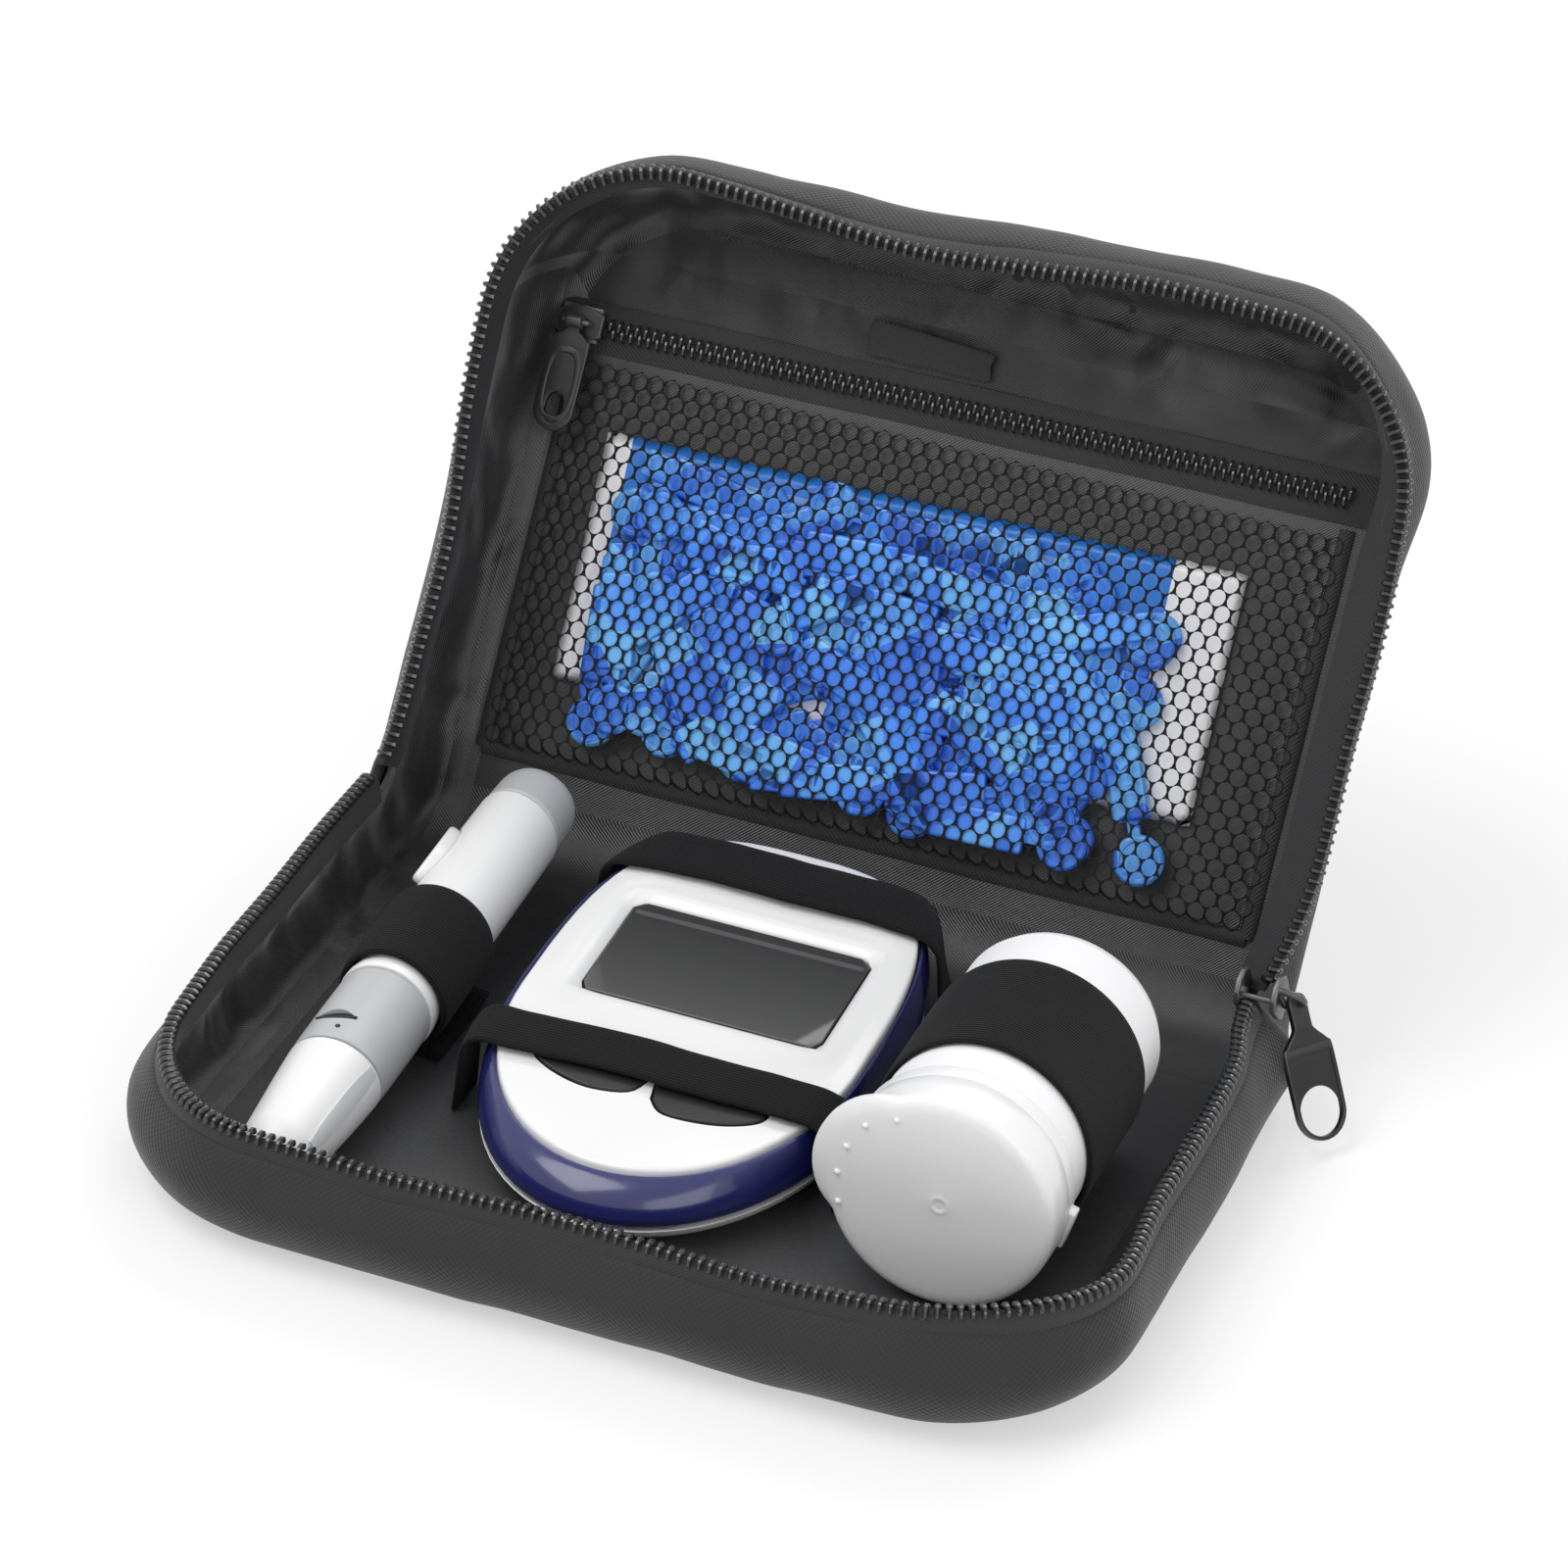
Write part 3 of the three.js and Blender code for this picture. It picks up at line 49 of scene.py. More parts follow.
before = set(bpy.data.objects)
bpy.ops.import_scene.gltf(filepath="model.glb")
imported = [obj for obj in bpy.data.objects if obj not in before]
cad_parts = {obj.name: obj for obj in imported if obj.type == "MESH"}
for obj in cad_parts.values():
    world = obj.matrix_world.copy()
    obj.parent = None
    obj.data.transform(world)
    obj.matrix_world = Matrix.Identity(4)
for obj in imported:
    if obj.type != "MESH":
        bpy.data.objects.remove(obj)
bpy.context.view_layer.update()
MM = 0.001


# Sizes and colours that a user would change

def length(name, description, default):
    return FloatProperty(name=name, description=description, default=default, unit="LENGTH", precision=4)


def turn(name, description, default):
    return FloatProperty(name=name, description=description, default=radians(default), subtype="ANGLE")


def paint(name, description, default):
    return FloatVectorProperty(
        name=name, description=description, default=default, size=3, min=0, max=1, subtype="COLOR")


class CaseSizes(bpy.types.PropertyGroup):
    """Lengths of the padded case"""
    width: length("Width", "Width of the case at its zip line", 0.155)
    depth: length("Depth", "Depth of each half from the hinge to the front", 0.1045)
    base_height: length("Base height", "Height of the lower half", 0.022)
    lid_height: length("Lid height", "Height of the upper half", 0.027)
    corner: length("Corner radius", "Radius of the zip line at the two front corners", 0.0278)
    bulge: length("Bulge", "How far the padded wall stands out past the zip line", 0.0038)
    wall: length("Wall", "Thickness of the padding", 0.0028)
    rim_drop: length("Rim drop", "Room for the zip above the padded wall", 0.0036)
    softness: FloatProperty(
        name="Softness", description="How much of its soft shape each rim takes", default=1.0)
    lean: length("Lean", "How far the lid's right wall leans in", 0.0076)
    swell: length("Swell", "How far the lid's front wall swells out on its right", 0.0018)
    pinch: length("Pinch", "How far the zip's end at the right of the hinge is drawn in", 0.0035)
    lid_turn: turn("Lid turn", "Turn of the lid's rim above the floor's direction", 58.6)


class ZipSizes(bpy.types.PropertyGroup):
    """Lengths of the zips"""
    pitch: length("Coil pitch", "Distance from one curl of the main zip to the next", 0.00164)
    coil_width: length("Coil width", "Width of one side of the main zip", 0.0020)
    pocket_pitch: length("Pocket pitch", "Distance from one curl of the pocket's zip to the next", 0.00155)


class ViewSettings(bpy.types.PropertyGroup):
    """Where the camera stands"""
    azimuth: turn("Azimuth", "Turn of the camera about the case, from the front to the right", 18.914)
    elevation: turn("Elevation", "Height of the camera above the floor, as an angle", 30.811)
    roll: turn("Roll", "Turn of the camera about its own line of sight", 4.248)
    distance: length("Distance", "Distance of the camera from the middle of the base", 1.09108)
    right: length("Right", "How far the camera is moved to its right", 0.014549)
    up: length("Up", "How far the camera is moved up", 0.057988)
    lens: FloatProperty(
        name="Lens", description="Focal length for a 36 mm sensor", default=162.73, subtype="DISTANCE_CAMERA")


class CaseColours(bpy.types.PropertyGroup):
    """Colours of the cloth and the plastics"""
    nylon: paint("Nylon", "Woven outer cloth", (0.0160, 0.0160, 0.0172))
    twill: paint("Twill", "Lining", (0.0155, 0.0155, 0.0166))
    elastic: paint("Elastic", "Straps and loops", (0.0056, 0.0056, 0.0060))
    coil: paint("Coil", "Curls of the zips", (0.016, 0.016, 0.017))
    white: paint("White", "White plastic", (0.83, 0.83, 0.83))
    navy: paint("Navy", "Blue band of the meter", (0.017, 0.020, 0.125))
    grey: paint("Grey", "Grey plastic of the pen", (0.47, 0.475, 0.49))
    lancet: paint("Lancet", "Blue plastic of the lancets", (0.060, 0.29, 1.0))
    print_blue: paint("Print blue", "Printed blocks on the swab packets", (0.03, 0.22, 0.74))


class InMillimetres:
    """Reads a group of lengths in millimetres."""

    def __init__(self, group):
        self.group = group

    def __getattr__(self, name):
        return getattr(self.group, name) / MM


def case_sizes():
    return InMillimetres(bpy.context.scene.kit_case)


def lid_turn():
    return bpy.context.scene.kit_case.lid_turn


def colour(name):
    return (*getattr(bpy.context.scene.kit_colours, name), 1.0)


# Work on meshes; all places are written in millimetres

def select_only(obj):
    bpy.ops.object.select_all(action="DESELECT")
    obj.select_set(True)
    bpy.context.view_layer.objects.active = obj


def solid(name, points, faces, flat=None):
    """A mesh object from points in millimetres; flat holds the UV place of every face corner."""
    mesh = bpy.data.meshes.new(name)
    mesh.from_pydata([tuple(c * MM for c in p) for p in points], [], faces)
    if flat:
        layer = mesh.uv_layers.new(name="Cloth")
        layer.data.foreach_set("uv", [c * MM for corner in flat for c in corner])
    obj = bpy.data.objects.new(name, mesh)
    bpy.context.scene.collection.objects.link(obj)
    return obj


def modify(obj, kind, **settings):
    """Adds a modifier and applies it."""
    select_only(obj)
    modifier = obj.modifiers.new(kind.title(), kind)
    for key, value in settings.items():
        setattr(modifier, key, value)
    bpy.ops.object.modifier_apply(modifier=modifier.name)
    return obj


def tidy_normals(obj, merge=0.00001):
    """Merges doubled points and turns the faces outwards."""
    select_only(obj)
    bpy.ops.object.mode_set(mode="EDIT")
    bpy.ops.mesh.select_all(action="SELECT")
    bpy.ops.mesh.remove_doubles(threshold=merge)
    bpy.ops.mesh.normals_make_consistent(inside=False)
    bpy.ops.object.mode_set(mode="OBJECT")
    return obj


def face_towards(obj, point, direction):
    """Flips all faces of an open skin if the one nearest a point doesn't look in a direction."""
    near = min(obj.data.polygons, key=lambda face: (face.center - Vector(point) * MM).length)
    if near.normal.dot(Vector(direction)) < 0:
        obj.data.flip_normals()
    return obj


def smooth(obj, angle=None):
    select_only(obj)
    if angle is None:
        bpy.ops.object.shade_smooth()
    else:
        bpy.ops.object.shade_smooth_by_angle(angle=radians(angle), keep_sharp_edges=True)
    return obj


def placed(obj, matrix):
    """Moves the points of a mesh by a matrix whose shifts are in millimetres."""
    shift = matrix.to_translation() * MM
    obj.data.transform(Matrix.Translation(shift) @ matrix.to_3x3().to_4x4())
    if matrix.determinant() < 0:
        obj.data.flip_normals()
    obj.data.update()
    return obj


def joined(name, *objects):
    select_only(objects[0])
    for obj in objects[1:]:
        obj.select_set(True)
    bpy.ops.object.join()
    objects[0].name = name
    objects[0].data.name = name
    return objects[0]


def dressed(obj, finish, slot, body, *nodes):
    """Gives a piece its material, the body it rides on and the nodes it stands for; the slot is not used."""
    if not obj.data.materials:
        obj.data.materials.append(bpy.data.materials[finish])
    if body:
        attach(obj, body)
    if nodes:
        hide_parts(*nodes)
    return obj


def step(t):
    t = min(max(t, 0.0), 1.0)
    return t * t * (3 - 2 * t)


def gentle_step(t):
    t = min(max(t, 0.0), 1.0)
    return t * t * t * (t * (6 * t - 15) + 10)


def lerp(a, b, t):
    return a + (b - a) * t


def between_four(t, a, b, c, d):
    """A smooth step from the second of four numbers to the third."""
    square = (2 * a - 5 * b + 4 * c - d) * t * t
    cube = (3 * b - a - 3 * c + d) * t ** 3
    return 0.5 * (2 * b + (c - a) * t + square + cube)


def through(points, spans):
    """A smooth line through points, with so many steps from each to the next."""
    line = []
    count = len(points)
    for i in range(count - 1):
        p = [points[max(i - 1, 0)], points[i], points[i + 1], points[min(i + 2, count - 1)]]
        for k in range(spans):
            line.append(tuple(between_four(k / spans, *numbers) for numbers in zip(*p)))
    line.append(tuple(points[-1]))
    return line


# Materials

class Graph:
    """A material's or a node group's nodes, added one at a time."""

    def __init__(self, tree):
        self.tree = tree

    def node(self, kind, inputs=None, **settings):
        node = self.tree.nodes.new(kind)
        for key, value in settings.items():
            setattr(node, key, value)
        for key, value in (inputs or {}).items():
            self.give(node, key, value)
        return node

    def give(self, node, key, value):
        if isinstance(value, bpy.types.NodeSocket):
            self.tree.links.new(value, node.inputs[key])
        else:
            node.inputs[key].default_value = value

    def math(self, operation, a, b=0.5, c=None, clamp=False):
        inputs = {0: a, 1: b}
        if c is not None:
            inputs[2] = c
        return self.node("ShaderNodeMath", inputs, operation=operation, use_clamp=clamp).outputs[0]

    def vector_math(self, operation, a, b):
        key = "Scale" if operation == "SCALE" else 1
        return self.node("ShaderNodeVectorMath", {0: a, key: b}, operation=operation).outputs[0]

    def mix(self, share, a, b, blend="MIX"):
        node = self.node("ShaderNodeMix", data_type="RGBA", blend_type=blend)
        self.give(node, 0, share)
        self.give(node, 6, a)
        self.give(node, 7, b)
        return node.outputs[2]

    def noise(self, vector, scale, detail=2.0, rough=0.5, distortion=0.0):
        inputs = {"Vector": vector, "Scale": scale, "Detail": detail, "Roughness": rough,
                  "Distortion": distortion}
        return self.node("ShaderNodeTexNoise", inputs).outputs[0]

    def between(self, value, low, high):
        """1 where a value lies between two places in millimetres."""
        above = self.math("GREATER_THAN", value, low * MM)
        return self.math("MULTIPLY", above, self.math("LESS_THAN", value, high * MM))

    def wave(self, value):
        """A sine between 0 and 1."""
        return self.math("MULTIPLY_ADD", self.math("SINE", value), 0.5, 0.5)

    def turns_over(self, vector, pitch, turns):
        """The parts of a place measured in turns of a pattern's pitch."""
        scaled = self.node("ShaderNodeVectorMath", {0: vector}, operation="SCALE")
        self.give(scaled, "Scale", self.math("DIVIDE", turns, pitch))
        return scaled.outputs[0]

    def ramp(self, value, *stops):
        node = self.node("ShaderNodeValToRGB", {0: value})
        elements = node.color_ramp.elements
        while len(elements) < len(stops):
            elements.new(0.5)
        for element, (place, shade) in zip(elements, stops):
            element.position = place
            element.color = shade if isinstance(shade, tuple) else (shade, shade, shade, 1)
        return node.outputs[0]

    def bump(self, height, distance, strength=1.0, normal=None):
        inputs = {"Height": height, "Distance": distance, "Strength": strength}
        if normal is not None:
            inputs["Normal"] = normal
        return self.node("ShaderNodeBump", inputs).outputs[0]

    def group(self, name, **inputs):
        node = self.node("ShaderNodeGroup", node_tree=bpy.data.node_groups[name])
        for key, value in inputs.items():
            self.give(node, key.replace("_", " "), value)
        return node


def new_group(name, inputs, outputs):
    """A node group with its sockets; returns its graph, its inputs and a function that sets its outputs."""
    tree = bpy.data.node_groups.new(name, "ShaderNodeTree")
    for socket, kind, default in inputs:
        made = tree.interface.new_socket(socket, in_out="INPUT", socket_type="NodeSocket" + kind)
        if default is not None:
            made.default_value = default
    for socket, kind in outputs:
        tree.interface.new_socket(socket, in_out="OUTPUT", socket_type="NodeSocket" + kind)
    graph = Graph(tree)
    start = graph.node("NodeGroupInput")
    end = graph.node("NodeGroupOutput")


    def finish(**results):
        for key, value in results.items():
            graph.give(end, key, value)

    return graph, start.outputs, finish


def weave_group():
    """Plain weave: threads that pass over and under one another."""
    graph, given, finish = new_group(
        "Plain weave", [("Vector", "Vector", None), ("Pitch", "Float", 0.0008)],
        [("Height", "Float"), ("Shade", "Float")])
    wobble = graph.node("ShaderNodeTexNoise", {"Vector": given["Vector"], "Scale": 900.0, "Detail": 1.0})
    scaled = graph.turns_over(given["Vector"], given["Pitch"], pi)
    place = graph.vector_math("ADD", scaled, graph.vector_math("SCALE", wobble.outputs[1], 0.9))
    parts = graph.node("ShaderNodeSeparateXYZ", {0: place}).outputs
    product = graph.math("MULTIPLY", graph.math("SINE", parts[0]), graph.math("SINE", parts[1]))
    height = graph.math("MULTIPLY_ADD", product, 0.5, 0.5)
    rounded = graph.math("POWER", height, 0.7)
    fibre = graph.noise(given["Vector"], 5200.0, 2.0)
    finish(Height=graph.math("MULTIPLY_ADD", fibre, 0.25, rounded),
           Shade=graph.math("MULTIPLY_ADD", fibre, 0.4, graph.math("MULTIPLY", height, 0.6)))


def twill_group():
    """Twill: fine ribs that run slanting across the cloth."""
    graph, given, finish = new_group(
        "Twill", [("Vector", "Vector", None), ("Pitch", "Float", 0.0007)],
        [("Height", "Float"), ("Shade", "Float")])
    scaled = graph.turns_over(given["Vector"], given["Pitch"], 2 * pi)
    parts = graph.node("ShaderNodeSeparateXYZ", {0: scaled}).outputs
    wobble = graph.math("MULTIPLY", graph.noise(given["Vector"], 260.0, 2.0), 3.0)
    rib = graph.wave(graph.math("ADD", graph.math("MULTIPLY_ADD", parts[0], 0.8, parts[1]), wobble))
    thread = graph.wave(graph.math("MULTIPLY", parts[0], 2.0))
    fibre = graph.noise(given["Vector"], 2400.0)
    finish(Height=graph.math("MULTIPLY_ADD", thread, 0.35, rib),
           Shade=graph.math("MULTIPLY_ADD", fibre, 0.5, graph.math("MULTIPLY", rib, 0.5)))


def rib_group():
    """Ribs of knitted elastic: lines along it with fine stitches across."""
    graph, given, finish = new_group(
        "Elastic ribs", [("Vector", "Vector", None), ("Pitch", "Float", 0.0011)],
        [("Height", "Float"), ("Shade", "Float")])
    scaled = graph.turns_over(given["Vector"], given["Pitch"], 2 * pi)
    parts = graph.node("ShaderNodeSeparateXYZ", {0: scaled}).outputs
    rib = graph.wave(parts[1])
    slant = graph.math("ADD", graph.math("MULTIPLY", parts[0], 1.6), graph.math("MULTIPLY", parts[1], 0.5))
    stitch = graph.wave(slant)
    finish(Height=graph.math("MULTIPLY_ADD", stitch, 0.45, rib),
           Shade=graph.math("MULTIPLY", rib, graph.math("MULTIPLY_ADD", stitch, 0.4, 0.6)))


def moulding_group():
    """Moulded plastic: a faint spark-eroded grain and slow flow marks."""
    graph, given, finish = new_group(
        "Moulded grain", [("Vector", "Vector", None), ("Grain", "Float", 2600.0)],
        [("Height", "Float"), ("Rough", "Float"), ("Shade", "Float")])
    fine = graph.noise(given["Vector"], given["Grain"], 3.0, 0.6)
    slow = graph.noise(given["Vector"], 38.0, 2.0)
    finish(Height=graph.math("MULTIPLY_ADD", slow, 1.6, fine),
           Rough=graph.math("MULTIPLY_ADD", slow, 0.12, graph.math("MULTIPLY", fine, 0.05)),
           Shade=graph.math("MULTIPLY_ADD", slow, 0.06, 0.97))


def new_material(name):
    surface = bpy.data.materials.new(name)
    surface.use_nodes = True
    return surface, Graph(surface.node_tree), surface.node_tree.nodes["Principled BSDF"]


def cloth_material(name, shade, pattern, pitch, depth, rough, sheen, contrast, shine=0.5):
    """Woven cloth that reads the flat places of its own threads."""
    surface, graph, shader = new_material(name)
    flat = graph.node("ShaderNodeUVMap", uv_map="Cloth").outputs[0]
    where = graph.node("ShaderNodeTexCoord").outputs["Object"]
    woven = graph.group(pattern, Vector=flat, Pitch=pitch)
    dark = tuple(c * (1 - contrast) for c in shade[:3]) + (1,)
    light = tuple(min(c * (1 + contrast), 1) for c in shade[:3]) + (1,)
    threads = graph.mix(woven.outputs["Shade"], dark, light)
    worn = graph.ramp(graph.noise(where, 55.0, 4.0, 0.6), (0.35, 0.86), (0.7, 1.14))
    graph.give(shader, "Base Color", graph.mix(1.0, threads, worn, "MULTIPLY"))
    graph.give(shader, "Roughness", rough)
    graph.give(shader, "Sheen Weight", sheen)
    graph.give(shader, "Sheen Roughness", 0.45)
    graph.give(shader, "Specular IOR Level", shine)
    soft = graph.bump(graph.noise(where, 90.0, 3.0), 0.0006, 0.5)
    graph.give(shader, "Normal", graph.bump(woven.outputs["Height"], depth, 1.0, soft))
    return surface


def plastic_material(name, shade, rough, grain=2600.0, depth=0.00002, metal=0.0, coat=0.0, wear=0.0):
    """Moulded plastic or painted metal with a faint grain, slow flow marks and rubbed edges."""
    surface, graph, shader = new_material(name)
    where = graph.node("ShaderNodeTexCoord").outputs["Object"]
    grained = graph.group("Moulded grain", Vector=where, Grain=grain)
    toned = graph.mix(1.0, shade, grained.outputs["Shade"], "MULTIPLY")
    if wear:
        edge = graph.node("ShaderNodeNewGeometry").outputs["Pointiness"]
        rubbed = graph.ramp(edge, (0.52, 0.0), (0.6, 1.0))
        toned = graph.mix(graph.math("MULTIPLY", rubbed, wear), toned, (0.35, 0.35, 0.36, 1))
    graph.give(shader, "Base Color", toned)
    graph.give(shader, "Roughness", graph.math("ADD", grained.outputs["Rough"], rough - 0.08))
    shader.inputs["Metallic"].default_value = metal
    shader.inputs["Coat Weight"].default_value = coat
    shader.inputs["Coat Roughness"].default_value = 0.06
    graph.give(shader, "Normal", graph.bump(grained.outputs["Height"], depth, 0.6))
    return surface


CREASED_ABOVE, CREASED_BESIDE = 79, 68


def crease(surface):
    """Adds long slack creases to the lining's bump: in the lid above its pocket, and down the walls."""
    graph = Graph(surface.node_tree)
    shader = surface.node_tree.nodes["Principled BSDF"]
    where = graph.node("ShaderNodeTexCoord").outputs["Object"]
    parts = graph.node("ShaderNodeSeparateXYZ", {0: where}).outputs
    stretched = graph.vector_math("MULTIPLY", where, (1.0, 0.8, 0.7))
    slack = graph.noise(stretched, 70.0, 1.4, distortion=0.5)
    high = graph.math("DIVIDE", graph.math("SUBTRACT", parts[2], CREASED_ABOVE * MM), 0.008, clamp=True)
    past = graph.math("SUBTRACT", graph.math("ABSOLUTE", parts[0]), CREASED_BESIDE * MM)
    beside = graph.math("MULTIPLY", graph.math("DIVIDE", past, 0.005, clamp=True), 0.7)
    share = graph.math("MULTIPLY_ADD", graph.math("MAXIMUM", high, beside), 0.92, 0.08)
    height = graph.math("MULTIPLY", slack, share)
    before = shader.inputs["Normal"].links[0].from_socket
    graph.give(shader, "Normal", graph.bump(height, 0.0062, 1.0, before))


def lancet_material():
    """Clear blue plastic: random paler and deeper patches of its blue are painted light and shade, standing
    for pieces that lie on one another.
    """
    graph, shader = new_material("Blue lancet")[1:]
    where = graph.node("ShaderNodeTexCoord").outputs["Object"]
    grained = graph.group("Moulded grain", Vector=where, Grain=1500.0)
    # Painted light and shade: random cells pick deeper, plain and paler copies of the one blue.
    light_and_shade_patch = graph.node("ShaderNodeTexVoronoi", {"Vector": where, "Scale": 135.0}).outputs["Color"]
    tone = graph.node("ShaderNodeSeparateColor", {0: light_and_shade_patch}).outputs[0]
    base = colour("lancet")
    painted_shade_blue = (base[0] * 0.55, base[1] * 0.6, base[2] * 0.8, 1)
    pale = (base[0] + 0.10, base[1] + 0.22, 1.0, 1)
    shade = graph.ramp(tone, (0.1, painted_shade_blue), (0.45, base), (0.9, pale))
    graph.give(shader, "Base Color", graph.mix(1.0, shade, grained.outputs["Shade"], "MULTIPLY"))
    graph.give(shader, "Roughness", graph.math("ADD", grained.outputs["Rough"], 0.18))
    shader.inputs["Transmission Weight"].default_value = 0.12
    graph.give(shader, "Normal", graph.bump(grained.outputs["Height"], 0.00001, 0.6))


def make_materials():
    weave_group()
    twill_group()
    rib_group()
    moulding_group()
    cloth_material("Nylon", colour("nylon"), "Plain weave", pitch=0.00052, depth=0.0001, rough=0.66,
                   sheen=0.2, contrast=0.34, shine=0.36)
    cloth_material("Tape", colour("twill"), "Twill", pitch=0.00065, depth=0.00006, rough=0.72, sheen=0.12,
                   contrast=0.3)
    crease(cloth_material("Lining twill", colour("twill"), "Twill", pitch=0.00055, depth=0.00005, rough=0.36,
                          sheen=0.34, contrast=0.3, shine=0.6))
    cloth_material("Elastic", colour("elastic"), "Elastic ribs", pitch=0.0006, depth=0.0001, rough=0.9,
                   sheen=0.05, contrast=0.35, shine=0.2)
    plastic_material("Coil", colour("coil"), 0.24, 1800.0, 0.00001, coat=0.5)
    plastic_material("Enamel", (0.016, 0.016, 0.018, 1), 0.34, 3000.0, metal=0.35, wear=0.5)
    plastic_material("Net thread", (0.003, 0.003, 0.0034, 1), 0.95, 3000.0, 0.00005)
    plastic_material("White shell", colour("white"), 0.34, depth=0.000015)
    plastic_material("White gloss", colour("white"), 0.2, 1200.0, 0.000008)
    plastic_material("Navy gloss", colour("navy"), 0.2, 900.0, 0.000006, coat=0.35)
    plastic_material("Grey satin", colour("grey"), 0.42, 2400.0)
    plastic_material("Black rubber", (0.011, 0.011, 0.012, 1), 0.5, 2400.0, 0.00004)
    plastic_material("Steel", (0.55, 0.56, 0.58, 1), 0.28, 1500.0, 0.00001, metal=1.0)
    plastic_material("Circuit", (0.02, 0.13, 0.06, 1), 0.45)
    plastic_material("Grey board", (0.32, 0.31, 0.29, 1), 0.9, 1500.0, 0.00008)
    plastic_material("Clear grey", (0.62, 0.63, 0.65, 1), 0.15, 900.0, 0.000006, coat=0.4)
    plastic_material("Paper", (0.88, 0.875, 0.89, 1), 0.6, 1200.0, 0.00004)
    lancet_material()
    sachet_material()
    screen_material()


# The two halves of the case. A place in a half is x, s from the hinge line, and d down from the zip line.

GAP = 0.3
WALL_SHARES = ((-1.84, 0), (-0.68, 0.04), (0.21, 0.163), (0.84, 0.38), (1, 0.6), (0.68, 0.826), (0.24, 1))
THICKNESS_SHARES = (0.5, 0.62, 0.85, 1, 1, 0.9, 0.64)
SIDE_STEPS, CORNER_STEPS, FRONT_STEPS = 24, 14, 34


# How the soft rims lie off the plan: a place along an edge and the shift there
SHIFTS = {name: through(table, 6) for name, table in {
    "lid right": ((0, -3.7), (8, -1.2), (20, 0.6), (40, 0.5), (60, 0.9), (80, -0.3), (106, -1.8)),
    "lid left": ((0, 0), (5, 1.4), (20, 2.0), (40, 2.3), (60, 0), (80, -1.0), (106, -0.6)),
    "lid front": ((-80, 0.5), (-60, 0), (-45, -0.7), (-30, -2.1), (-10, -4.0), (10, -2.8), (30, -1.1),
                  (50, -1.5), (65, -1.5), (80, -0.6)),
    "base right": ((0, -5.6), (10, -3.8), (20, -1.4), (40, -0.5), (60, -0.4), (80, 1.2), (106, 0.6)),
    "base left": ((0, 0), (20, 0), (40, 0.7), (60, 1.0), (84, 2.6), (106, 2.0)),
    "base front": ((-80, 0), (-50, 0), (-30, 0.9), (0, 0), (30, 0.9), (50, -0.6), (65, -1.7), (80, -0.8)),
}.items()}


def shift_at(name, place):
    """The shift of a rim at a place along it."""
    line = SHIFTS[name]
    for (a, low), (b, high) in zip(line, line[1:]):
        if place <= b:
            return lerp(low, high, min(max((place - a) / (b - a), 0), 1))
    return line[-1][1]


def softened(half, x, s, d):
    """A place of a half moved as the soft cloth lies: most at the rim, and less the deeper it is."""
    case = case_sizes()
    share = case.group.softness * (1 - 0.8 * step(d / 12)) * (1 - step((d - 12) / 10))
    beside, ahead = step((abs(x) - 47) / 30), step((s - 72) / 30)
    across = shift_at(half + (" right" if x > 0 else " left"), s) * beside * share
    forward = shift_at(half + " front", x) * ahead * share
    if half == "base":
        return x + across, s, d + forward
    lean = case.lean * (step(d / 9.5) - 0.42 * step((d - 12) / 12)) * step((x - 32) / 38)
    swell = case.swell * ahead * step(d / 5) * (1 - step((d - 14) / 12))
    swell = swell * step((x + 25) / 35) * (1 - step((x - 58) / 18))
    return x + across - lean * (1 - 0.7 * step((s - 62) / 40)), s + forward + swell, d


def base_place(x, s, d):
    case = case_sizes()
    x, s, d = softened("base", x, s, d)
    return (x, case.depth / 2 - s, case.base_height - d)


def lid_place(x, s, d):
    case = case_sizes()
    turn_up = lid_turn()
    x, s, d = softened("lid", x, s, d)
    y = case.depth / 2 + s * cos(turn_up) + d * sin(turn_up)
    return (x, y, case.base_height + s * sin(turn_up) - d * cos(turn_up))


def spine_place(x, d, angle):
    case = case_sizes()
    return (x, case.depth / 2 + d * sin(angle), case.base_height - d * cos(angle))


def moved_in(profile, distances):
    """A wall's profile moved inwards; its floor end moves up and its rim end moves in."""
    moved = []
    last = len(profile) - 1
    for i, (o, z) in enumerate(profile):
        before, after = profile[max(i - 1, 0)], profile[min(i + 1, last)]
        reach = hypot(after[0] - before[0], after[1] - before[1])
        normal = (-(after[1] - before[1]) / reach, (after[0] - before[0]) / reach)
        if i == 0:
            normal = (0, 1)
        if i == last:
            normal = (-1, 0)
        moved.append((o + normal[0] * distances[i], z + normal[1] * distances[i]))
    return moved


def wall_profiles(height):
    """Profiles of a half's outer cloth and of its lining's face, from the floor's edge up to the rim."""
    case = case_sizes()
    top = height - case.rim_drop
    outer = [(o * case.bulge, z * top) for o, z in WALL_SHARES]
    inner = moved_in(outer, [share * case.wall for share in THICKNESS_SHARES])
    behind = moved_in(inner, [1.1 if i < 1 else GAP for i in range(len(inner))])
    lining = moved_in(behind, [0.5] * len(inner))
    return outer, lining


def rim_path():
    """Places round the zip line, from the hinge's right end: x, s, outward direction, length so far."""
    case = case_sizes()
    x, straight = case.width / 2, case.depth - case.corner
    path = [(x, straight * i / SIDE_STEPS, 1, 0) for i in range(SIDE_STEPS)]
    for i in range(CORNER_STEPS):
        angle = i / CORNER_STEPS * pi / 2
        path.append((x - case.corner + case.corner * cos(angle), straight + case.corner * sin(angle),
                     cos(angle), sin(angle)))
    front = x - case.corner
    path += [(front - 2 * front * i / FRONT_STEPS, case.depth, 0, 1) for i in range(FRONT_STEPS + 1)]
    half = path[:SIDE_STEPS + CORNER_STEPS]
    path += [(-px, s, -nx, ns) for px, s, nx, ns in reversed(half)]
    return [(*corner, far) for corner, far in zip(path, run_along(path))]


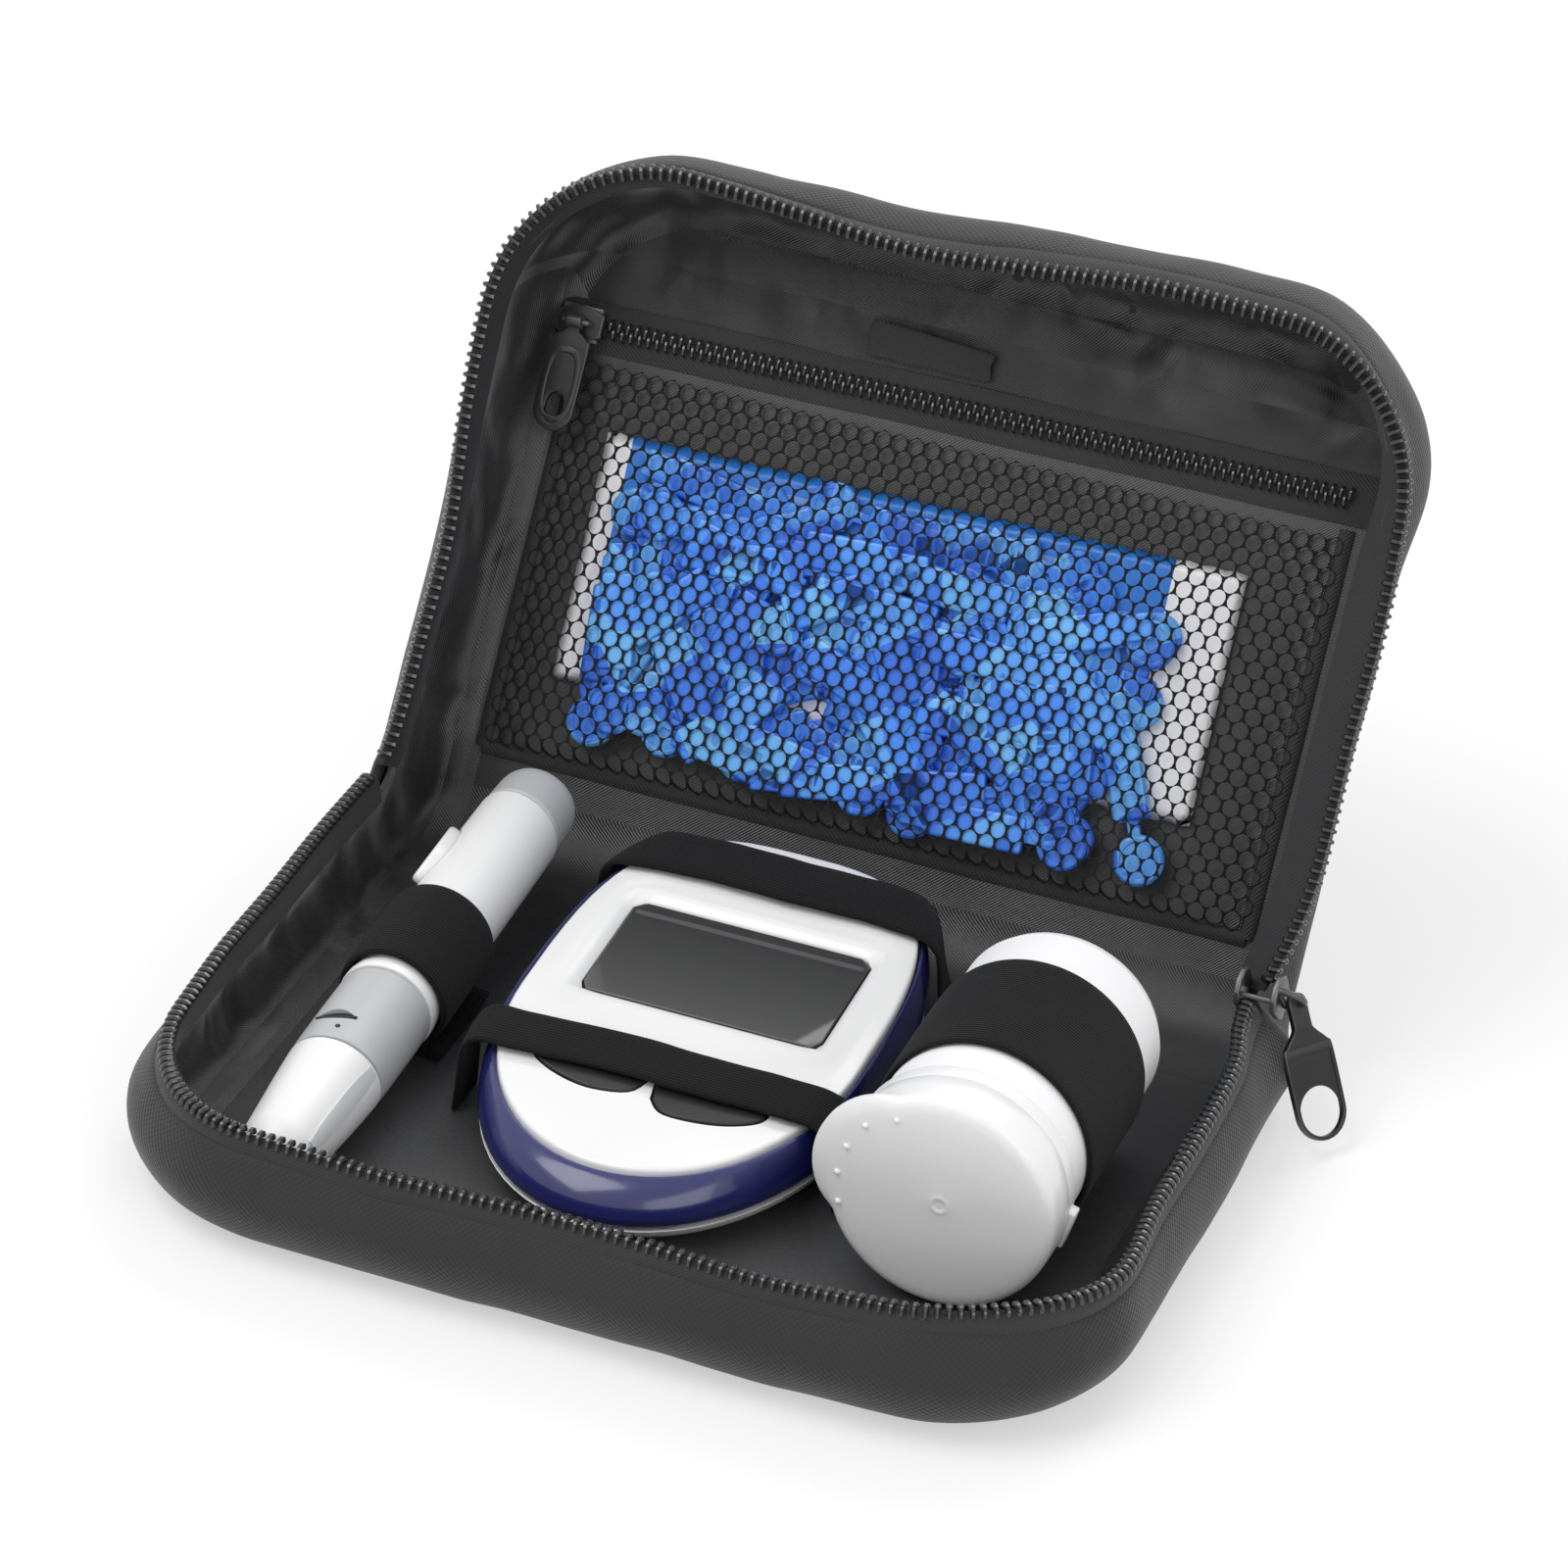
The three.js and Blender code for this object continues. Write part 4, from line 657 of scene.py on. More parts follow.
class Skin:
    """Points, faces and flat places of one cloth, collected bit by bit."""

    def __init__(self):
        self.points, self.faces, self.flat = [], [], []

    def row(self, places):
        first = len(self.points)
        self.points += places
        return list(range(first, first + len(places)))

    def between(self, lower, upper, lower_flat, upper_flat):
        for i in range(len(lower) - 1):
            self.faces.append((lower[i], lower[i + 1], upper[i + 1], upper[i]))
            self.flat += [lower_flat[i], lower_flat[i + 1], upper_flat[i + 1], upper_flat[i]]

    def made(self, name):
        return solid(name, self.points, self.faces, self.flat)


def half_skin(skin, half, profile, height):
    """Walls and floor of one half; returns the points of its section at the hinge, and that section."""
    place = {"base": base_place, "lid": lid_place}[half]
    path = rim_path()
    steps = SIDE_STEPS + CORNER_STEPS
    line = through(profile, 2)
    walls = []
    for x, s, nx, ns, _ in path:
        walls.append(skin.row([place(x + nx * o, s + ns * o, height - z) for o, z in line]))
    flats = [[(row[4], r) for r in run_along(line)] for row in path]
    for i in range(len(path) - 1):
        skin.between(walls[i], walls[i + 1], flats[i], flats[i + 1])
    edge, z = line[0]
    rows = []
    shares = [k / FRONT_STEPS for k in range(FRONT_STEPS + 1)]
    for i in range(steps):
        x, s, nx, ns, _ = path[i]
        right, along = x + nx * edge, s + ns * edge
        inner = [place(lerp(right, -right, t), along, height - z) for t in shares[1:-1]]
        rows.append([walls[i][0], *skin.row(inner), walls[-1 - i][0]])
    rows.append([walls[steps + k][0] for k in range(FRONT_STEPS + 1)])
    width = path[0][0] * 2
    for i in range(steps):
        low, high = [[(width * t, path[k][1]) for t in shares] for k in (i, i + 1)]
        skin.between(rows[i], rows[i + 1], low, high)
    section = list(reversed(walls[0])) + rows[0][1:-1] + walls[-1]
    right = path[0][0]
    places = [(right + o, height - z) for o, z in reversed(line)]
    places += [(lerp(right + edge, -right - edge, t), height - z) for t in shares[1:-1]]
    places += [(-right - o, height - z) for o, z in line]
    places = [softened(half, x, 0, d)[::2] for x, d in places]
    return section, places


def spine_turns():
    """Turns of the spine's rows, close together where it bends as the lid shuts."""
    full = degrees(lid_turn())
    close = [lerp(19, 40.5, i / 15) for i in range(16)]
    return [full * t / 58.6 for t in (4, 8, 12, 16, *close, 44, 48, 52, 55.5)]


def case_skin(name, which):
    """One unbroken cloth over base, spine and lid; which is 0 for the outer cloth and 1 for the lining."""
    case = case_sizes()
    skin = Skin()
    base_line = wall_profiles(case.base_height)[which]
    lid_line = wall_profiles(case.lid_height)[which]
    lower, from_places = half_skin(skin, "base", base_line, case.base_height)
    upper, to_places = half_skin(skin, "lid", lid_line, case.lid_height)
    rows = [lower]
    full = degrees(lid_turn())
    turns = [0, *spine_turns(), full]
    for angle in turns[1:-1]:
        share = gentle_step(angle / full)
        rows.append(skin.row([
            spine_place(lerp(x0, x1, share), lerp(d0, d1, share), radians(angle))
            for (x0, d0), (x1, d1) in zip(from_places, to_places)]))
    rows.append(upper)
    across = run_along(from_places)
    for i in range(len(rows) - 1):
        low, high = [-24 * radians(turns[k]) for k in (i, i + 1)]
        skin.between(rows[i], rows[i + 1], [(a, low) for a in across], [(a, high) for a in across])
    return skin.made(name)


def pushed(obj, amount_at):
    """Moves every point along its normal by the amount for its place, both in millimetres."""
    moved = [vertex.co + vertex.normal * amount_at(vertex.co / MM) * MM for vertex in obj.data.vertices]
    for vertex, co in zip(obj.data.vertices, moved):
        vertex.co = co
    obj.data.update()
    return obj


def wrinkled(obj, amount, size, seed):
    """Moves points along their normals by slow noise."""
    start = Vector((seed, seed * 1.7, 0))
    return pushed(obj, lambda place: noise.fractal(place / size + start, 1.0, 2.0, 3) * amount)


def folded(obj):
    """Lays slack folds into the lining: above the lid's pocket, beside it and along the walls."""
    case = case_sizes()
    turn_up = lid_turn()

    def fold(place):
        x, y, z = place.x, place.y - case.depth / 2, place.z - case.base_height
        s, d = y * cos(turn_up) + z * sin(turn_up), y * sin(turn_up) - z * cos(turn_up)
        share = 0.0
        if s > 2 and d > -1:
            label = 1 - step((15 - abs(x + 9)) / 4) * step((94 - s) / 3)
            share = 1.5 * step((s - 84) / 6) * label + 0.9 * step((abs(x) - 68) / 4)
        elif d < 0 or s <= 2:
            share = 0.7 * step((abs(x) - 70) / 4)
        wave = noise.fractal(Vector((x / 7 + s / 23, s / 15, d / 12 + 5)), 1.0, 2.0, 2)
        sharp = 0.45 - abs(wave) * 1.5
        return (sharp * 0.7 + wave * 0.5) * share

    return pushed(obj, fold)


def bend_with_lid(obj):
    """Bakes the piece's place into its points; the piece is not bent between the base and the lid."""
    case = case_sizes()
    middle = Vector((0, case.depth / 2, case.base_height))
    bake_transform(obj)
    return obj


class KIT_OT_case_cloth(bpy.types.Operator):
    """Outer cloth of the base, the spine and the lid, in one padded piece"""
    bl_idname = "kit.case_cloth"
    bl_label = "Outer cloth"

    def execute(self, context):
        body = case_skin("case_cloth", 0)
        tidy_normals(body)
        face_towards(body, (0, 0, 0), (0, 0, -1))
        wrinkled(body, 0.5, 19, 3)
        modify(body, "SOLIDIFY", thickness=0.0020, offset=-1, use_even_offset=True, thickness_clamp=0)
        modify(body, "SUBSURF", levels=1, render_levels=1)
        smooth(body)
        dressed(body, "Nylon", "nylon", None, "base_shell", "spine_shell", "lid_shell")
        bend_with_lid(body)
        return {"FINISHED"}


class KIT_OT_case_lining(bpy.types.Operator):
    """Lining of the base, the spine and the lid, in one piece"""
    bl_idname = "kit.case_lining"
    bl_label = "Lining"

    def execute(self, context):
        lining = case_skin("case_lining", 1)
        tidy_normals(lining)
        face_towards(lining, (0, 0, 3), (0, 0, 1))
        wrinkled(lining, 0.12, 14, 9)
        folded(lining)
        modify(lining, "SOLIDIFY", thickness=0.0004, offset=-1)
        modify(lining, "SUBSURF", levels=1, render_levels=1)
        smooth(lining)
        case = case_sizes()
        long = 2 * case.depth + 2 * case.base_height + 2 * case.lid_height
        wide = case.width + 2 * case.base_height
        measured(lining) / 2
        dressed(lining, "Lining twill", "twill", None, "base_lining", "spine_lining", "lid_lining")
        bend_with_lid(lining)
        return {"FINISHED"}


def measured(obj):
    """Area of all faces of a mesh, in square metres."""
    return sum(face.area for face in obj.data.polygons)


# Turned, drawn and cut forms

ALONG_Y = Matrix.Rotation(radians(-90), 4, "X")


def frame_at(place, x_turn=0.0, y_turn=0.0, z_turn=0.0):
    """A frame at a place in millimetres, turned about X, then Y, then Z, in degrees."""
    turns = (Matrix.Rotation(radians(z_turn), 4, "Z") @ Matrix.Rotation(radians(y_turn), 4, "Y")
             @ Matrix.Rotation(radians(x_turn), 4, "X"))
    return Matrix.Translation(place) @ turns


def rounded(profile, steps=4):
    """Profile places (radius, height, fillet) with each corner that has a fillet made round."""
    line = []
    for i, corner in enumerate(profile):
        r, h, *fillet = corner
        if not fillet or i in (0, len(profile) - 1):
            line.append((r, h))
            continue
        here = Vector((r, h))
        before = Vector(profile[i - 1][:2]) - here
        after = Vector(profile[i + 1][:2]) - here
        reach = min(fillet[0], before.length * 0.49, after.length * 0.49)
        a, b = here + before.normalized() * reach, here + after.normalized() * reach
        for k in range(steps + 1):
            t = k / steps
            place = a * (1 - t) ** 2 + here * 2 * t * (1 - t) + b * t * t
            line.append((place.x, place.y))
    return line


def extruded_up(height):
    """Extrudes the selected edges straight up by a height in millimetres."""
    bpy.ops.mesh.extrude_edges_move(TRANSFORM_OT_translate={"value": (0, 0, height * MM)})


def turned(name, profile, matrix, sides=48):
    """A turned piece about a frame's Z axis: a circle is extruded and resized from one height to the next."""
    started_on_axis = profile[0][0] == 0
    body = profile[1:] if started_on_axis else profile
    bpy.ops.object.select_all(action="DESELECT")
    radius, height = body[0]
    bpy.ops.mesh.primitive_circle_add(vertices=sides, radius=radius * MM, location=(0, 0, 0))
    obj = bpy.context.active_object
    obj.name = obj.data.name = name
    bpy.ops.object.mode_set(mode="EDIT")
    bpy.ops.mesh.select_all(action="SELECT")
    bpy.ops.transform.translate(value=(0, 0, height * MM))
    for next_radius, next_height in body[1:]:
        extruded_up(next_height - height)
        if next_radius == 0:
            bpy.ops.mesh.merge(type="CENTER")
            break
        share = next_radius / radius
        bpy.ops.transform.resize(value=(share, share, 1), center_override=(0, 0, next_height * MM))
        radius, height = next_radius, next_height
    bpy.ops.object.mode_set(mode="OBJECT")
    if started_on_axis:
        for vertex in obj.data.vertices:
            vertex.select = vertex.index < sides
        for edge in obj.data.edges:
            edge.select = edge.vertices[0] < sides and edge.vertices[1] < sides
        for face in obj.data.polygons:
            face.select = False
        bpy.ops.object.mode_set(mode="EDIT")
        extruded_up(profile[0][1] - body[0][1])
        bpy.ops.mesh.merge(type="CENTER")
        bpy.ops.object.mode_set(mode="OBJECT")
    tidy_normals(obj, 0.000002)
    return placed(smooth(obj, 35), matrix)


def drawn(name, rings, start="cap", end="cap", closed=False, angle=35):
    """A skin over rings of equally many places: a circle laid on the first and extruded to each next one."""
    bpy.ops.object.select_all(action="DESELECT")
    bpy.ops.mesh.primitive_circle_add(vertices=len(rings[0]), radius=MM, location=(0, 0, 0))
    obj = bpy.context.active_object
    obj.name = obj.data.name = name
    bpy.ops.object.mode_set(mode="EDIT")
    work = bmesh.from_edit_mesh(obj.data)
    work.verts.ensure_lookup_table()
    current = list(work.verts)
    rows = list(rings) + ([rings[0]] if closed else [])
    for number, ring in enumerate(rows):
        if number:
            known = {vertex: i for i, vertex in enumerate(current)}
            extruded_up(1)
            fresh = [vertex for vertex in work.verts if vertex.select]
            new = [None] * len(current)
            for vertex in fresh:
                for edge in vertex.link_edges:
                    other = edge.other_vert(vertex)
                    if other in known:
                        new[known[other]] = vertex
            current = new
        for vertex, place in zip(current, ring):
            vertex.co = Vector(place) * MM
        if number == 0 and start and not closed:
            first_ring = list(current)
    if closed:
        bpy.ops.mesh.select_all(action="SELECT")
        bpy.ops.mesh.remove_doubles(threshold=0.000002)
    else:
        for kind, ring in ((end, current), (start, first_ring if start else None)):
            if not kind:
                continue
            bpy.ops.mesh.select_all(action="DESELECT")
            for vertex in ring:
                vertex.select = True
            work.select_flush(True)
            if kind == "cap":
                bpy.ops.mesh.edge_face_add()
            else:
                extruded_up(0)
                bpy.ops.mesh.merge(type="CENTER")
    bmesh.update_edit_mesh(obj.data)
    bpy.ops.object.mode_set(mode="OBJECT")
    tidy_normals(obj, 0.000002)
    return smooth(obj, angle)


def plate(name, outlines, thickness, bevel, matrix, steps=2):
    """A flat plate with holes from closed outlines, its edges rounded; its middle plane is the frame's XY."""
    curve = bpy.data.curves.new(name, "CURVE")
    curve.dimensions = "2D"
    curve.fill_mode = "BOTH"
    curve.extrude = (thickness / 2 - bevel) * MM
    curve.bevel_depth = bevel * MM
    curve.bevel_resolution = steps
    curve.offset = -bevel * MM
    for outline in outlines:
        spline = curve.splines.new("POLY")
        spline.points.add(len(outline) - 1)
        for point, (x, y) in zip(spline.points, outline):
            point.co = (x * MM, y * MM, 0, 1)
        spline.use_cyclic_u = True
    obj = bpy.data.objects.new(name, curve)
    bpy.context.scene.collection.objects.link(obj)
    select_only(obj)
    bpy.ops.object.convert(target="MESH")
    obj = bpy.context.active_object
    obj.name = obj.data.name = name
    tidy_normals(obj, 0.000002)
    return placed(smooth(obj, 40), matrix)


def bent_rod(name, places, radius, sides=10, flat=1.0):
    """A round rod through places, closed at both ends; flat squeezes it along its own height."""
    line = [Vector(p) for p in places]
    rings = []
    side = None
    for i, here in enumerate(line):
        ahead = (line[min(i + 1, len(line) - 1)] - line[max(i - 1, 0)]).normalized()
        if side is None:
            side = ahead.orthogonal().normalized()
        side = (side - ahead * side.dot(ahead)).normalized()
        over = ahead.cross(side)
        turns = [2 * pi * k / sides for k in range(sides)]
        rings.append([here + side * radius * cos(a) + over * radius * flat * sin(a) for a in turns])
    return drawn(name, rings)


def cut_out(obj, *tools):
    """Takes tools out of a piece and deletes them."""
    for tool in tools:
        modify(obj, "BOOLEAN", object=tool, operation="DIFFERENCE", solver="EXACT")
        bpy.data.objects.remove(tool)
    return obj


def block(name, size, place, bevel=0.3, segments=3, matrix=None):
    """A block with rounded edges."""
    bpy.ops.object.select_all(action="DESELECT")
    bpy.ops.mesh.primitive_cube_add(size=1, location=(0, 0, 0))
    obj = bpy.context.active_object
    obj.name = obj.data.name = name
    bpy.ops.object.mode_set(mode="EDIT")
    bpy.ops.transform.resize(value=tuple(s * MM for s in size), center_override=(0, 0, 0))
    bpy.ops.transform.translate(value=tuple(p * MM for p in place))
    bpy.ops.mesh.bevel(offset=bevel * MM, segments=segments, affect="EDGES")
    bpy.ops.object.mode_set(mode="OBJECT")
    smooth(obj, 40)
    return placed(obj, matrix) if matrix else obj


def ellipse(wide, tall, count=32, x=0.0, y=0.0, power=2.0):
    """An outline that is an ellipse at power 2 and nearer a rectangle above it."""
    outline = []
    for i in range(count):
        c, s = cos(2 * pi * i / count), sin(2 * pi * i / count)
        outline.append((x + wide * abs(c) ** (2 / power) * (1 if c >= 0 else -1),
                        y + tall * abs(s) ** (2 / power) * (1 if s >= 0 else -1)))
    return outline


def strip_of(name, rows, flats, seen, thickness, offset=-1, rounds=0, angle=60):
    """Cloth over rows of places and flat places; seen is a point near its face and the way the face looks."""
    skin = Skin()
    made_rows = [skin.row(row) for row in rows]
    for i in range(len(rows) - 1):
        skin.between(made_rows[i], made_rows[i + 1], flats[i], flats[i + 1])
    obj = tidy_normals(skin.made(name))
    face_towards(obj, *seen)
    modify(obj, "SOLIDIFY", thickness=thickness * MM, offset=offset)
    if rounds:
        modify(obj, "SUBSURF", levels=rounds, render_levels=rounds)
    return smooth(obj, angle)


def run_along(line):
    """Length of a line of places in a plane from its start to each place."""
    run = [0.0]
    for a, b in zip(line, line[1:]):
        run.append(run[-1] + hypot(a[0] - b[0], a[1] - b[1]))
    return run


def arc(radius, start, end, steps, height=0.0):
    """Places round a circle whose middle is at a height, between two angles."""
    angles = [start + (end - start) * i / steps for i in range(steps + 1)]
    return [(radius * cos(a), height + radius * sin(a)) for a in angles]


# Zips

def curl(width, height, thick, sides=6):
    """One curl of a zip's coil as rings of places: across the zip, up, and along it."""
    path = [(0.5, -0.55, 0.75), (0.46, -0.05, 0.95), (0.30, 0.30, 1.0), (0.0, 0.42, 1.0), (-0.30, 0.36, 1.12),
            (-0.50, 0.12, 1.25), (-0.52, -0.35, 0.9)]
    rings = []
    for i, (o, z, fat) in enumerate(path):
        a, b = path[max(i - 1, 0)], path[min(i + 1, len(path) - 1)]
        ahead = Vector(((b[0] - a[0]) * width, (b[1] - a[1]) * height)).normalized()
        ring = []
        for k in range(sides):
            angle = 2 * pi * (k + 0.5) / sides
            lift, along = thick * fat * cos(angle), thick * 1.12 * fat * sin(angle)
            ring.append((o * width - ahead.y * lift, z * height + ahead.x * lift, along))
        rings.append(ring)
    return rings


def coil_row(name, frames, width, height, thick):
    """Curls of a zip at frames given as (place, across, up, along)."""
    rings = curl(width, height, thick)
    points, faces = [], []
    for place, across, up, along in frames:
        for ring in rings:
            first = len(points)
            for o, z, a in ring:
                points.append(place + across * o + up * z + along * a)
        start = len(points) - len(rings) * len(rings[0])
        count = len(rings[0])
        for r in range(len(rings) - 1):
            for k in range(count):
                a, b = start + r * count + k, start + r * count + (k + 1) % count
                faces.append((a, b, b + count, a + count))
        faces.append(tuple(start + k for k in reversed(range(count))))
        faces.append(tuple(start + (len(rings) - 1) * count + k for k in range(count)))
    obj = solid(name, points, faces)
    return smooth(tidy_normals(obj, 0.0), 50)


def zip_line(step_length, start):
    """Places along the zip line at even steps: x, s and the outward direction."""
    path = rim_path()
    total = path[-1][4]
    count = int((total - 2 * start) / step_length)
    places, k = [], 0
    for i in range(count + 1):
        far = start + (total - 2 * start) * i / count
        while k < len(path) - 2 and path[k + 1][4] < far:
            k += 1
        a, b = path[k], path[k + 1]
        t = (far - a[4]) / (b[4] - a[4])
        places.append(tuple(lerp(p, q, t) for p, q in zip(a[:4], b[:4])))
    return places


def zip_frames(place, pitch, depth, out):
    """A frame for every curl: its place, outwards, up and along the zip."""
    frames = []
    for x, s, nx, ns in zip_line(pitch, 2.4):
        here = Vector(place(x + nx * out, s + ns * out, depth))
        outward = (Vector(place(x + nx * (out + 1), s + ns * (out + 1), depth)) - here).normalized()
        up = (Vector(place(x + nx * out, s + ns * out, depth - 1)) - here).normalized()
        frames.append((here, outward, up, outward.cross(up)))
    return frames


def zip_tape(name, place):
    """Tape that comes up out of the wall, turns over under the coil and lies back on the lining."""
    section = through([(1.05, 4.6), (1.0, 3.5), (0.86, 2.6), (0.45, 1.85), (-0.2, 1.55), (-0.95, 1.62),
                       (-1.5, 2.3), (-1.85, 3.6), (-2.15, 6.2)], 2)
    path = zip_line(2.6, 0.35)
    rows = [[place(x + nx * o, s + ns * o, d) for o, d in section] for x, s, nx, ns in path]
    flat = [[(far, r) for r in run_along(section)] for far in run_along(path)]
    x, s = path[len(path) // 2][:2]
    above = Vector(place(x, s, -4)) - Vector(place(x, s, 0))
    return strip_of(name, rows, flat, (place(x, s, 1.4), above), 0.35)


class KIT_OT_main_zip(bpy.types.Operator):
    """Tapes and coils of the main zip, round the rims of the base and the lid"""
    bl_idname = "kit.main_zip"
    bl_label = "Main zip"

    def execute(self, context):
        zips = InMillimetres(context.scene.kit_zips)
        for half, place in (("base", base_place), ("lid", lid_place)):
            tape = zip_tape(half + "_tape", place)
            dressed(tape, "Tape", "nylon", half, half + "_zip_tape")
            frames = zip_frames(place, zips.pitch, 1.15, -0.25)
            coil = coil_row(half + "_coil", frames, zips.coil_width, 1.15, 0.41)
            dressed(coil, "Coil", "zip_coil", half, half + "_zip_coil")
        return {"FINISHED"}


SLIDER_TILT = 131.4


def slider_frame():
    case = case_sizes()
    return frame_at((case.width / 2 - case.pinch, case.depth / 2, case.base_height), SLIDER_TILT)


def shield(length_y, width_z, nose=0.62):
    """Outline of a slider's plate: broad at its nose and narrower at its tail."""
    half_long, half_wide = length_y / 2, width_z / 2
    return through([(half_long, 0), (half_long * 0.86, half_wide * 0.62), (half_long * 0.35, half_wide),
                    (-half_long * 0.5, half_wide * 0.86), (-half_long, half_wide * nose), (-half_long, 0),
                    (-half_long, -half_wide * nose), (-half_long * 0.5, -half_wide * 0.86),
                    (half_long * 0.35, -half_wide), (half_long * 0.86, -half_wide * 0.62)], 1)


def pull_outline(eye, neck_end, broad, end):
    """Outline of a flat pull: a round eye, a neck, and a broad plate with a round end; Y runs down."""
    right = through([(eye, 0), (eye, neck_end - 2.2), (eye + 0.35, neck_end - 1.1),
                     (broad - 0.7, neck_end + 0.9), (broad, neck_end + 2.4), (broad, end - broad)], 3)
    left = [(-x, y) for x, y in reversed(right)]
    return arc(eye, pi, 2 * pi, 8)[1:-1] + right + arc(broad, 0, pi, 14, end - broad)[1:-1] + left


PULL_SWING = 3
PULL_EYE, PULL_NECK, PULL_BROAD, PULL_LENGTH = 1.7, 5.6, 4.65, 22
PULL_HOLE, PULL_HOLE_AT, PULL_FIELD_TOP = 3.95, 17.35, 8.4


class KIT_OT_main_slider(bpy.types.Operator):
    """Slider of the main zip with its bridge, and its flat pull"""
    bl_idname = "kit.main_slider"
    bl_label = "Main slider and pull"

    def execute(self, context):
        place = slider_frame()
        flat = Matrix(((0, 0, 1, 0), (1, 0, 0, 0), (0, 1, 0, 0), (0, 0, 0, 1)))
        outer_at, inner_at = [place @ Matrix.Translation((x, 0, 0)) @ flat for x in (2.6, -3.4)]
        outer = plate("outer", [shield(9.0, 6.6)], 1.1, 0.35, outer_at, 3)
        inner = plate("inner", [shield(8.8, 6.4)], 1.0, 0.35, inner_at, 3)
        tilt = radians(SLIDER_TILT)
        post_line = [(x, -1.6 * cos(tilt), 1.6 * sin(tilt)) for x in (-3.3, 0, 2.5)]
        arch = through([(2.9, -3.5, 0), (4.4, -2.5, 0), (6.3, -0.2, 0), (6.8, 1.2, 0), (6.2, 2.7, 0),
                        (4.6, 3.5, 0), (2.9, 3.65, 0)], 5)
        rib_line = [(3.15, -3.4 + 0.68 * i, 0) for i in range(11)]
        post = placed(bent_rod("post", post_line, 0.42, 10), place)
        bridge = placed(bent_rod("bridge", arch, 0.58, 12), place)
        rib = placed(bent_rod("rib", rib_line, 0.42, 8), place)
        slider = joined("zip_slider", outer, inner, post, bridge, rib)
        dressed(slider, "Enamel", "enamel", "main_slider", "main_slider")
        foot, peak = place @ Vector((2.6, -3.4, 0)), place @ Vector((7.1, 1.3, 0))
        ring = foot.lerp(peak, 0.6)
        limb = (peak - foot).normalized()
        hang = (Vector((0, 0, -1)) + limb * limb.z).normalized()
        across = limb.cross(hang)
        pull_frame = Matrix((across, hang, across.cross(hang))).transposed().to_4x4()
        pull_frame.translation = ring
        pull_frame = pull_frame @ Matrix.Rotation(radians(PULL_SWING), 4, "X")
        outline = pull_outline(PULL_EYE, PULL_NECK, PULL_BROAD, PULL_LENGTH)
        hole = ellipse(PULL_HOLE, PULL_HOLE, 36, 0, PULL_HOLE_AT)
        eye = ellipse(0.95, 0.95, 16)
        pull = plate("pull", [outline, hole, eye], 0.8, 0.25, pull_frame, 3)
        field = arc(PULL_HOLE, 0, pi, 18, PULL_HOLE_AT)
        field += [(-PULL_HOLE, PULL_FIELD_TOP), (PULL_HOLE, PULL_FIELD_TOP)]
        border = plate("border", [outline, field], 1.2, 0.2, pull_frame, 2)
        pull = joined("zip_pull", pull, border)
        dressed(pull, "Enamel", "enamel", "main_pull", "main_pull")
        return {"FINISHED"}


# Lid pocket

POCKET_LEFT, POCKET_RIGHT, POCKET_BOTTOM, POCKET_TOP, POCKET_ZIP = 68, 64, 7, 74, 79
POCKET_FACE = -23.3
NET_PITCH, NET_ROW = 2.84, 2.46
STRAND = 0.14


def up_in_lid():
    """The direction out of the lid's floor."""
    return lid_frame().to_3x3() @ Vector((0, 0, 1))


def lid_frame():
    case = case_sizes()
    return frame_at((0, case.depth / 2, case.base_height), degrees(lid_turn()))


def net_depth(x, s):
    sides = step((x + POCKET_LEFT) / 11) * step((POCKET_RIGHT - x) / 16)
    rise = step((s - POCKET_BOTTOM) / 3)
    fall = 1 - step((s - 52) / 22)
    soft = noise.noise(Vector((x / 13, s / 13, 4.0))) * 0.35
    return 23.1 - (4.6 + soft) * sides * rise * fall


def mesh_outlines(x, y):
    """Outlines of one mesh of the net: the six-sided middle line of its threads, and the round opening."""
    tall = NET_ROW * 2 / 3
    outer, inner = [], []
    for k in range(12):
        angle = pi / 6 * k
        if k % 2 == 0:
            ox, oy = -sin(angle) * NET_PITCH / sqrt(3), cos(angle) * tall
        else:
            before, after = angle - pi / 6, angle + pi / 6
            ox = -(sin(before) + sin(after)) / 2 * NET_PITCH / sqrt(3)
            oy = (cos(before) + cos(after)) / 2 * tall
        outer.append((x + ox, y + oy))
        inner.append((x - sin(angle) * (NET_PITCH / 2 - STRAND), y + cos(angle) * (tall * 0.96 - STRAND)))
    return outer, inner


